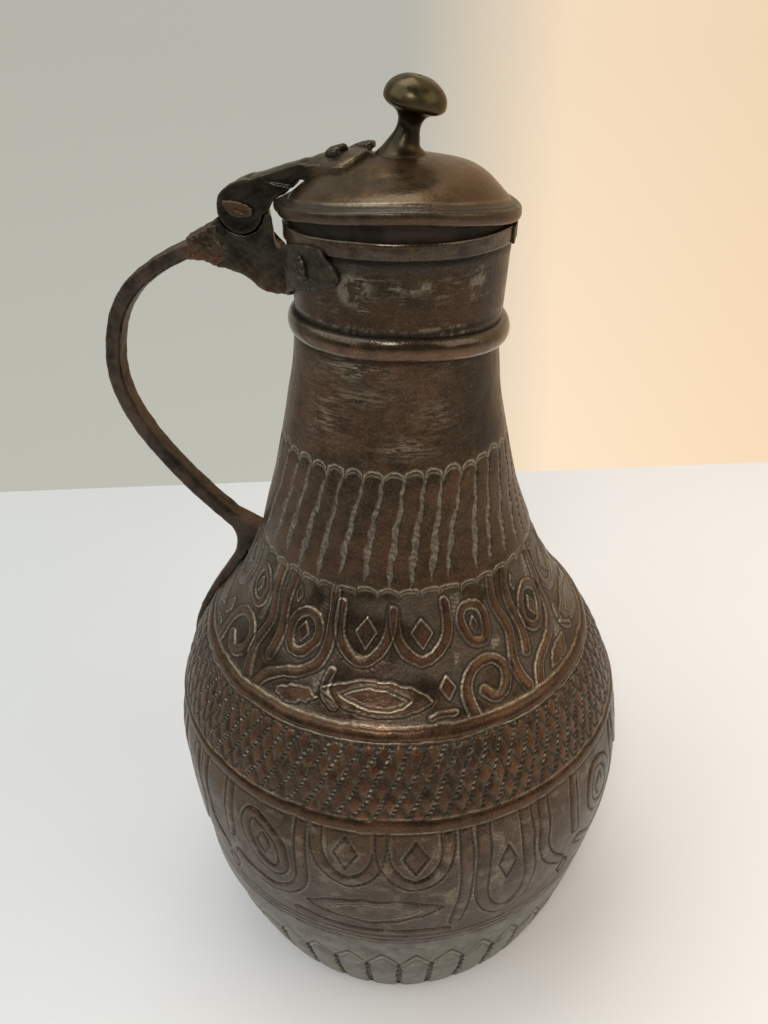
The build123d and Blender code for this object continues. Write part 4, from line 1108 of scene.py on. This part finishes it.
dome_top = [(r, sphere(r)) for r in np.linspace(3.1, 39.6, 40)]
moulding = [(r, sphere(r) + over) for r, over in ((40.3, 0), (41.0, -0.04), (41.6, 0.02), (42.1, 0.08))]
moulding += [(42.5, 382.85), (42.8, 382.4), (43.2, 382.1), (43.9, 381.95), (44.6, 381.85),
             (45.1, 381.6), (45.4, 381.35), (45.8, 381.35), (46.3, 381.1)]
roll = arc_points((45.4, 379.1), 2.0, 2.8, 35, -90, 14)
under = [(44.6, 376.25), (43.2, 376.2), (43.0, 376.3), (43.0, 377.4), (44.5, 377.5), (45.6, 378.3),
         (46.0, 379.5), (45.2, 381.0), (43.4, 381.5), (42.5, 381.55)]
dome_low = [(r, sphere(r, 1.2)) for r in np.linspace(41.9, 3.1, 24)]
lathe("lid_dome_sheet", (dome_top + moulding + roll + under + dome_low)[::-1], lid_copper, "lid", 384,
      lid_warp, lid_stain, replaced=["lid_dome"], slot="lid_copper")
lathe("edge_wire_ring", arc_points((44.6, 379.5), 1.3, 1.3, 0, 345, 24), dark_copper, "lid", 256,
      lid_warp, replaced=["edge_wire"], slot="dark_copper")
# The flange is painted near black, as shade in the gap under the lid.
lathe("lid_flange_ring",
      rows_between([(41.0, FLANGE_FOOT), (42.0, FLANGE_FOOT), (FLANGE_R, RIM_Z), (FLANGE_R, FLANGE_TOP),
                    (41.9, FLANGE_TOP), (41.9, RIM_Z)], 1.5), flange_shade, "lid", 256,
      lambda t, r, z: (r, z + step(RIM_Z - 1, FLANGE_TOP, z) * lid_warp(t, FLANGE_R, 0 * t)[1]),
      replaced=["lid_flange"], slot="lid_copper", sharp=40)

# Hinge strap, its rivets and the pin, in mm. The hinge's parts are as wide as HALF on each side
HINGE_X, HINGE_Z, HALF = -62.7, 376.3, 7.0


def circle(radius, start, end, count):
    """Points round the hinge's axis."""
    return arc_points((HINGE_X, HINGE_Z), radius, radius, start, end, count)


def dome_z(x, y, over=0.0):
    """Height of the dome's skin, or of a place over it."""
    return DOME_CENTRE + np.sqrt(np.maximum((DOME_R + over) ** 2 - x * x - y * y, 1))


strap_upper = smooth_line([
    (-66.8, 385.2), (-64.2, 386.4), (-60.8, 387.6), (-57.1, 388.7), (-53.0, 389.9), (-48.9, 391.0),
    (-44.8, 392.6), (-40.8, 393.7), (-36.8, 394.9), (-32.8, 396.1), (-28.9, 397.2), (-25.0, 397.9),
    (-22.0, 397.6)], 3)
strap_lower = smooth_line([
    (-20.5, 394.5), (-26.0, 392.6), (-31.0, 391.0), (-35.5, 389.4), (-38.6, 387.5), (-41.2, 385.2),
    (-43.6, 382.9), (-46.4, 381.4), (-48.9, 379.3), (-50.0, 376.8), (-52.2, 374.6)], 3)
cheek = np.vstack([circle(9.6, 60, 352, 40), strap_lower[::-1][:16], strap_upper[:8][::-1]])
# Along the strap: x, half width, lowest and highest z
BAR = [(-58.5, 7.0, 380.5, 388.2), (-55.5, 7.0, 379.0, 389.1), (-52.5, 6.9, 378.6, 390.0),
       (-49.5, 6.7, 379.6, 390.9), (-46.5, 6.3, 381.6, 391.9), (-43.5, 5.9, 383.6, 392.9),
       (-40.5, 5.7, 386.2, 393.7), (-37.5, 6.0, 388.0, 394.6)]
# Along the leaf: x, half width, its edge's and its crown's height over the dome and over that edge
LEAF = [(-34.5, 6.6, 3.7, 2.1), (-31.5, 7.8, 2.9, 2.5), (-28.5, 9.8, 2.3, 2.6),
        (-25.5, 12.6, 1.9, 2.6), (-22.5, 15.4, 1.6, 2.5), (-19.5, 17.2, 1.5, 2.3),
        (-17.0, 16.6, 1.4, 2.1), (-14.8, 14.2, 1.4, 1.8), (-12.8, 9.6, 1.4, 1.5),
        (-11.2, 4.2, 1.3, 1.2)]
across = np.sin(np.linspace(-math.pi / 2, math.pi / 2, 17))
is_top = np.arange(2 * len(across) - 2) >= len(across)
across = np.concatenate([across, across[-2:0:-1]])
edge = np.abs(across)
strap_rows = []
for x, half, low, high in BAR:
    z = np.where(is_top, high - 0.9 * edge ** 3, low)
    strap_rows.append(np.column_stack([x + 0 * edge, half * across, z]))
for x, half, over, crown in LEAF:
    skin = over + crown * (1 - edge ** 2) + 0.45 * bump(edge - 0.88, 0.12)
    z = dome_z(x, half * across, np.where(is_top, skin, -0.9))
    strap_rows.append(np.column_stack([x + 0 * edge, half * across, z]))


def to_back(y):
    """0 at the hinge's front face to twice HALF at its back."""
    return np.clip(y + HALF, 0, 2 * HALF)


def recede(p):
    """The hinge's parts are narrower at the back than in front, so that daylight shows beside them."""
    x, y, z = p.T
    back = step(-60, -49.5, x) * step(-43.5, -46.5, x) * step(388, 381, z) * step(360, 363.5, z)
    return np.column_stack([x - 0.36 * back * to_back(y), y, z])


clay("hinge_strap_forging", [prism(cheek, -HALF, -3.3), prism(cheek, 3.3, HALF), loft(strap_rows)],
     0.40 * coarse, 8, 0.08, 91, strap_metal, "lid", recede,
     lambda x, y, z: 0.7 * step(-37, -27, x) + 0.3 * step(387, 391, z),
     replaced=["hinge_strap"], slot="strap_metal")


def blob(centre, axis, across, rx, ry, high, seed, count=28):
    """Points and faces of a low, uneven rivet head on a face."""
    axis, across = np.array(axis, float), np.array(across, float)
    axis /= np.linalg.norm(axis)
    across -= axis * (across @ axis)
    across /= np.linalg.norm(across)
    other = np.cross(axis, across)
    t = np.arange(count) / count * TAU
    rng = np.random.default_rng(seed)
    wobble = 1 + sum(rng.uniform(-0.07, 0.07) * np.cos(k * t + rng.uniform(0, TAU)) for k in (2, 3, 4))
    rows = []
    for share, up in ((0.5, -1.6), (0.97, -1.5), (1.0, 0.25), (0.93, 0.62), (0.72, 0.9), (0.35, 1.0)):
        up = up if up < 0 else up * high
        rows.append(np.array(centre) + axis * up + np.outer(np.cos(t) * rx * share * wobble, across)
                    + np.outer(np.sin(t) * ry * share * wobble, other))
    return loft(rows)


def out_of_dome(rho, over, y=0.0):
    """A place over the dome towards the hinge, with the dome's direction there."""
    way = np.array([-rho, y, math.sqrt(DOME_R ** 2 - rho ** 2 - y * y)]) / DOME_R
    return np.array([0, 0, DOME_CENTRE]) + way * (DOME_R + over), way


Y = (0, 1, 0)
(first, up_first), (second, up_second) = out_of_dome(22.0, 3.7, -4.2), out_of_dome(13.6, 2.9, 1.6)
rove_places = [out_of_dome(rho, -1.2) for rho in (22.8, 13.6)]
clay("strap_rivet_heads",
     [blob(first, up_first, Y, 4.3, 4.6, 2.4, 5), blob(second, up_second, (1, 0, 0), 5.0, 3.6, 1.2, 6)]
     + [blob(p, -w, Y, 3.0, 3.0, 1.2, 7) for p, w in rove_places],
     0.34, 2, 0.22, 92, strap_metal, "lid", replaced=["strap_rivets"], slot="strap_metal")


PIN_X, PIN_Z = HINGE_X - 0.8, HINGE_Z + 0.8


def crease(p):
    """A slanted crease across the pin's flattened front end."""
    x, y, z = p.T
    along = z - HINGE_Z + 0.2 + 0.3 * (x - HINGE_X)
    on_end = (y < -HALF) * (np.abs(x - HINGE_X - 0.8) < 2.6)
    return np.column_stack([x, y + 1.1 * on_end * bump(along, 0.55), z])


PIN_SLANT = 0.30               # radians, the slant of the pin's flattened end
pin_front = blob((PIN_X, -7.2, PIN_Z), (0, -1, 0), (math.cos(PIN_SLANT), 0, -math.sin(PIN_SLANT)),
                 6.6, 2.1, 1.5, 8)
clay("hinge_pin_ends", [solid_of("hinge_pin"), pin_front], 0.30, 3, 0.25, 93, red_copper, "jug", crease,
     lambda x, y, z: 0.35 * step(-6.8, -7.4, y), replaced=["hinge_pin"], slot="dark_copper")

# Bracket, its rivets and the ferrule
web = [(-75, 352.9), (-69.1, 352.1), (-64.9, 350.8), (-60.9, 348.3), (-58.1, 346), (-54.5, 343.2),
       (-49.4, 342.9), (-44.4, 343.2), (-44.8, 361.3), (-47.1, 361.4), (-48.9, 363.2), (-49.2, 368),
       (-49.4, 373.6)]
web_sides = web + [(-50.6, 375.0)] + circle(10.1, -12, -160, 26) + [(-75.0, 370.6)]
web_middle = web + [(-51.5, 376)] + circle(9.3, 10, 190, 20) + [(-72.6, 370.8), (-75, 370)]
# Outlines of the plate on the neck: azimuth in degrees, height
WING_LOW = [(180, 343.3), (190, 343.6), (203, 347), (215.3, 351.1), (226.8, 354), (242.8, 357.0),
            (249.7, 358.6), (251.3, 360.8)]
WING_HIGH = [(180, 361.8), (195, 362.5), (205, 366), (217, 369.3), (229.3, 371.6), (241.6, 372.3),
             (244.4, 370.7), (248.2, 365.5), (251.3, 360.8)]


def wing_solid(sign):
    """The plate on one side of the neck, cut to the wing's outline, slice by slice."""
    rows = []
    for a in np.linspace(180, 251.2, 40):
        low, high = (np.interp(a, *np.transpose(line)) for line in (WING_LOW, WING_HIGH))
        z = np.linspace(min(low, high - 0.5), max(high, low + 0.5), 9)
        inner = np.interp(z, [COLLAR_FOOT, BAND_FOOT, BAND_FOOT + 0.01],
                          [NECK_R, MOUTH_R, MOUTH_R + 1.0]) + 0.1
        thick = 2.5 - 0.9 * step(225, 250, a) + 0.7 * bump(z - 361, 4.5) * bump(a - 236, 7)
        turn = sign * math.radians(a)
        r = np.concatenate([inner - 0.4, (inner + thick)[::-1]])
        rows.append(np.column_stack([r * math.cos(turn), r * math.sin(turn), np.append(z, z[::-1])]))
    return loft(rows)


def slot_slant(p):
    """The slot under the lid's edge is deeper at the back, and the horn beside it is narrower there."""
    x, y, z = p.T
    deep = step(-49.9, -48.7, x) * step(344, 359, z) * to_back(y) * step(44, 20, y)
    return recede(np.column_stack([x, y, z - 0.66 * deep]))


clay("bracket_casting",
     [prism(web_sides, -HALF, -3.4), prism(web_sides, 3.4, HALF), prism(web_middle, -3.5, 3.5),
      wing_solid(1), wing_solid(-1)], 0.45 * coarse, 3, 0.25, 94, cast_metal, "jug", slot_slant,
     lambda x, y, z: 0.9 * step(352, 347, z + 0.35 * (x + 62)) * step(-45, -52, x),
     replaced=["bracket"], slot="cast_bracket")
heads = []
for azimuth in (230, 131):
    a = math.radians(azimuth)
    out = np.array([math.cos(a), math.sin(a), -0.06])
    outside, inside = out * 46.9 + np.array([0, 0, 365.3]), out * 42.9 + np.array([0, 0, 365.0])
    heads.append(blob(outside, out, (0.2, 0.2, 1), 4.7, 3.0, 1.5, azimuth))
    heads.append(blob(inside, -out, (0, 0, 1), 2.6, 2.6, 1.0, azimuth + 1))
clay("bracket_rivet_heads", heads, 0.32, 2, 0.45, 95, cast_metal, "jug", replaced=["bracket_rivets"],
     slot="dark_copper")
sleeve = [(-86.5, 364.6), (-82.3, 366.3), (-76.9, 368.9), (-73.0, 369.6), (-73.4, 364.5),
          (-69.4, 360.4), (-69.2, 357.4), (-75.4, 353.2), (-79.4, 355.0), (-86.8, 356.0)]
clay("ferrule_sleeve", [prism(sleeve, -7.5, 7.5)], 0.36 * coarse, 12, 0.40, 96, red_copper, "jug",
     paint=lambda x, y, z: step(363, 357, z + 0.3 * (x + 80)), replaced=["ferrule"], slot="dark_copper")


# Handle
HEAD_OUT = 4.6                 # how far out of the wall the heads' tops begin


def tail_shift(p, flat=1.0):
    """The tail is thin and lies on the fuller wall. Below 1, flat presses the rivets' heads too."""
    x, y, z = p.T
    rho, wall = np.hypot(x, y), radius_at(z)
    off = rho - wall
    thin = 1 - 0.42 * step(226, 206, z) * (off > 0)
    moved = wall + flank(np.arctan2(y, x), z) + 0.15 * (off > 0) + off * thin
    moved = moved - np.maximum(off - HEAD_OUT, 0) * thin * (1 - flat)
    share = 1 + (moved / rho - 1) * step(-60, -66, x) * step(262, 222, z)
    return np.column_stack([x * share, y * share, z])


clay("handle_bar", [solid_of("handle")], 0.50 * coarse, 2, 0.10, 97, bar_metal, "jug", tail_shift,
     replaced=["handle"], slot="handle_metal")
clay("tail_rivet_heads", [solid_of("tail_rivets")], 0.35, 2, 0.15, 98, dark_copper, "jug",
     lambda p: tail_shift(p, 0.6), replaced=["tail_rivets"], slot="dark_copper")

# Knob: radius and height over the dome's top. It leans, and its foot lies on the dome
LEAN, KNOB_X, APEX = math.radians(14), 1.5, 398.2
KNOB_FOOT = -3.0
knob_profile = smooth_line([(10.2, -0.6), (9.6, 0.3), (8.3, 1.3), (6.9, 2.6), (5.7, 4.6), (4.8, 7.0),
                            (4.4, 9.3), (4.7, 11.6), (6.0, 13.6), (8.3, 15.0), (10.6, 15.9),
                            (11.7, 17.0), (11.9, 18.5), (11.4, 20.8), (9.8, 23.2), (7.0, 25.3),
                            (3.6, 26.4), (0.6, 26.6)], 4)
knob_profile = np.vstack([(3.2, KNOB_FOOT), knob_profile])
a = np.arange(96) / 96 * TAU
knob_rows = []
for r, t in knob_profile:
    side, y = r * np.cos(a), r * np.sin(a)
    tilted = np.column_stack([KNOB_X + t * math.sin(LEAN) + side * math.cos(LEAN), y,
                              APEX + t * math.cos(LEAN) - side * math.sin(LEAN)])
    x = KNOB_X - 0.8 + side
    flat = np.column_stack([x, y, dome_z(x, y) + t])
    knob_rows.append(flat + (tilted - flat) * step(-0.2, 6.5, t))
points, faces = loft(knob_rows)
points = points + 0.10 * waves(points, 9, 99)[:, None] * np.array([0.6, 0.6, 1.0])
t = np.repeat(knob_profile[:, 1], len(a))
faces = [np.array(faces[:-2])[:, ::-1], np.array([faces[-2][::-1]]), np.array([faces[-1]])]
# Painted shade: the knob is darkened all over but the top of its head, most on the stem under the head.
mesh_piece("finial_knob", points, faces, brass, "lid", replaced=["finial"], slot="knob_brass",
           marks={"hollow_shade": 0.45 + 0.27 * step(1.5, 5.0, t) * step(15.5, 12.0, t)
                  - 0.45 * step(13.5, 17.5, t), "warm": step(5, 1, t)})

# Finishes of the CAD nodes that stay
for node, finish in {"base_disc": body_copper, "cross_pin": bar_metal, "finial_rove": brass}.items():
    nodes[node].data.materials.clear()
    nodes[node].data.materials.append(finish)

# Camera, fitted to the photograph in its own pixels
WIDTH, HEIGHT, FOCAL_PX, MIDDLE_X, SENSOR = 768, 1024, 861.0, 399.2, 36
PITCH, TURN = math.radians(31.7), math.radians(10)
AHEAD, ASIDE = (-math.sin(TURN), math.cos(TURN), 0), (math.cos(TURN), math.sin(TURN), 0)    # both level


camera = link(bpy.data.objects.new("camera", bpy.data.cameras.new("camera")))
camera.location = (0.0603, -0.3417, 0.453)
camera.rotation_euler = (math.pi / 2 - PITCH, 0, TURN)
camera.data.sensor_width = SENSOR
camera.data.lens = FOCAL_PX / HEIGHT * SENSOR
camera.data.shift_x = -(MIDDLE_X - WIDTH / 2) / HEIGHT
camera.data.clip_start = 0.01
bpy.context.scene.camera = camera


def floor_point(x, y):
    """Where the floor is seen at a pixel."""
    right_way = Vector(ASIDE)
    forward = Vector(AHEAD) * math.cos(PITCH) - Vector((0, 0, math.sin(PITCH)))
    ray = (forward + right_way * ((x - MIDDLE_X) / FOCAL_PX)
           + right_way.cross(forward) * ((HEIGHT / 2 - y) / FOCAL_PX))
    return camera.location - ray * (camera.location.z / ray.z)


# Floor, from the foot of the wall behind towards the camera, in metres
FLOOR_HALF, FLOOR_DEEP = 4, 6
FOOT_ROW_LEFT, FOOT_ROW_RIGHT = 492, 462     # pixel rows of the wall's foot at the picture's two sides
wall_left, wall_right = floor_point(0, FOOT_ROW_LEFT), floor_point(WIDTH, FOOT_ROW_RIGHT)
wall_way = (wall_right - wall_left).normalized()
toward = Vector((wall_way.y, -wall_way.x, 0)) * FLOOR_DEEP
middle = (wall_left + wall_right) / 2
ends = [middle - wall_way * FLOOR_HALF, middle + wall_way * FLOOR_HALF]
corners = ends + [ends[1] + toward, ends[0] + toward]
floor_mesh = bpy.data.meshes.new("floor")
floor_mesh.from_pydata([(c.x, c.y, 0) for c in corners], [], [(3, 2, 1, 0)])
floor = link(bpy.data.objects.new("floor", floor_mesh))
s = Shader("floor_paper")
# Painted light: the floor is darker and greyer to the left and lighter and warmer to the right.
painted_light_across = s.ramp(s.add("SeparateXYZ", {0: s.place}).outputs[0], -0.4, 0.45)
paper = s.mix(painted_light_across, (0.517, 0.536, 0.54), (0.77, 0.73, 0.69))
paper = s.mix(s.ramp(s.grain(9, 3), 0.3, 0.7, 0.0, 0.035), paper, (0.5, 0.5, 0.5))
fibres = s.bump(s.grain(500, 2), 0.05, 0.0004)
floor_mesh.materials.append(s.finish(Base_Color=paper, Roughness=0.75, Normal=fibres))


# World: the wall behind, seen by the camera and in the metal, and a soft light
def colours(world, value, stops):
    """A colour band, from places and colours."""
    band = world.add("ValToRGB", {0: value})
    elements = band.color_ramp.elements
    while len(elements) < len(stops):
        elements.new(1.0)
    for element, (place, colour) in zip(elements, stops):
        element.position, element.color = place, (*colour, 1)
    return band.outputs[0]


studio = bpy.data.worlds.new("studio")
bpy.context.scene.world = studio
world = Nodes(studio)
way = world.add("TexCoord", {}).outputs["Generated"]
aside, ahead = (world.add("VectorMath", {0: way, 1: axis}, operation="DOT_PRODUCT").outputs["Value"]
                for axis in (ASIDE, AHEAD))
height = world.add("SeparateXYZ", {0: way}).outputs["Z"]
half = world.math("MULTIPLY_ADD", aside, 0.5, 0.5)
wash = colours(world, half, [(0.30, (0.47, 0.465, 0.41)), (0.505, (0.475, 0.47, 0.415)),
                             (0.585, (0.905, 0.72, 0.52)), (0.70, (0.87, 0.67, 0.46))])
tint = colours(world, half, [(0, (0.90, 0.95, 1.0)), (1, (1.0, 0.91, 0.80))])
path = world.add("LightPath", {}).outputs
room = world.ramp(ahead, -0.35, 0.30, 0.22, 1.0)     # metal finds the room behind the camera darker
# The wall is lighter near the floor
near_floor = world.ramp(height, -0.06, -0.50, 1.0, 1.11, "LINEAR")
strength = world.times(world.math("MAXIMUM", room, path["Is Camera Ray"]), near_floor)
seen = world.add("Background", {0: wash, 1: strength}).outputs[0]
soft = world.add("Background", {0: tint, 1: 0.64}).outputs[0]
either = path["Is Camera Ray"]
for kind in ("Is Glossy Ray", "Is Transmission Ray"):
    either = world.math("MAXIMUM", either, path[kind])
world.add("OutputWorld", {0: world.add("MixShader", {0: either, 1: soft, 2: seen}).outputs[0]})


def lamp(name, azimuth, elevation, distance, size, power, colour):
    """A soft square lamp that faces the middle of the object."""
    data = bpy.data.lights.new(name, "AREA")
    data.shape, data.size, data.energy, data.color = "SQUARE", size, power, colour
    a, e = math.radians(azimuth), math.radians(elevation)
    piece = link(bpy.data.objects.new(name, data))
    way = Vector((math.cos(a) * math.cos(e), math.sin(a) * math.cos(e), math.sin(e)))
    piece.location = LAMP_TARGET + distance * way
    piece.rotation_euler = (LAMP_TARGET - piece.location).to_track_quat("-Z", "Y").to_euler()


LAMP_TARGET = Vector((0, 0, 0.2))
lamp("lamp_left", 205, 48, 1.5, 1.4, 10.5, (0.95, 0.98, 1.0))
lamp("lamp_top", 120, 75, 1.6, 0.9, 9.8, (1.0, 0.97, 0.93))
lamp("lamp_small", 268, 46, 1.3, 0.26, 5.0, (1.0, 0.98, 0.95))
lamp("lamp_right", 350, 35, 1.6, 1.1, 6.8, (1.0, 0.90, 0.78))

bpy.context.scene.view_settings.view_transform = "Standard"
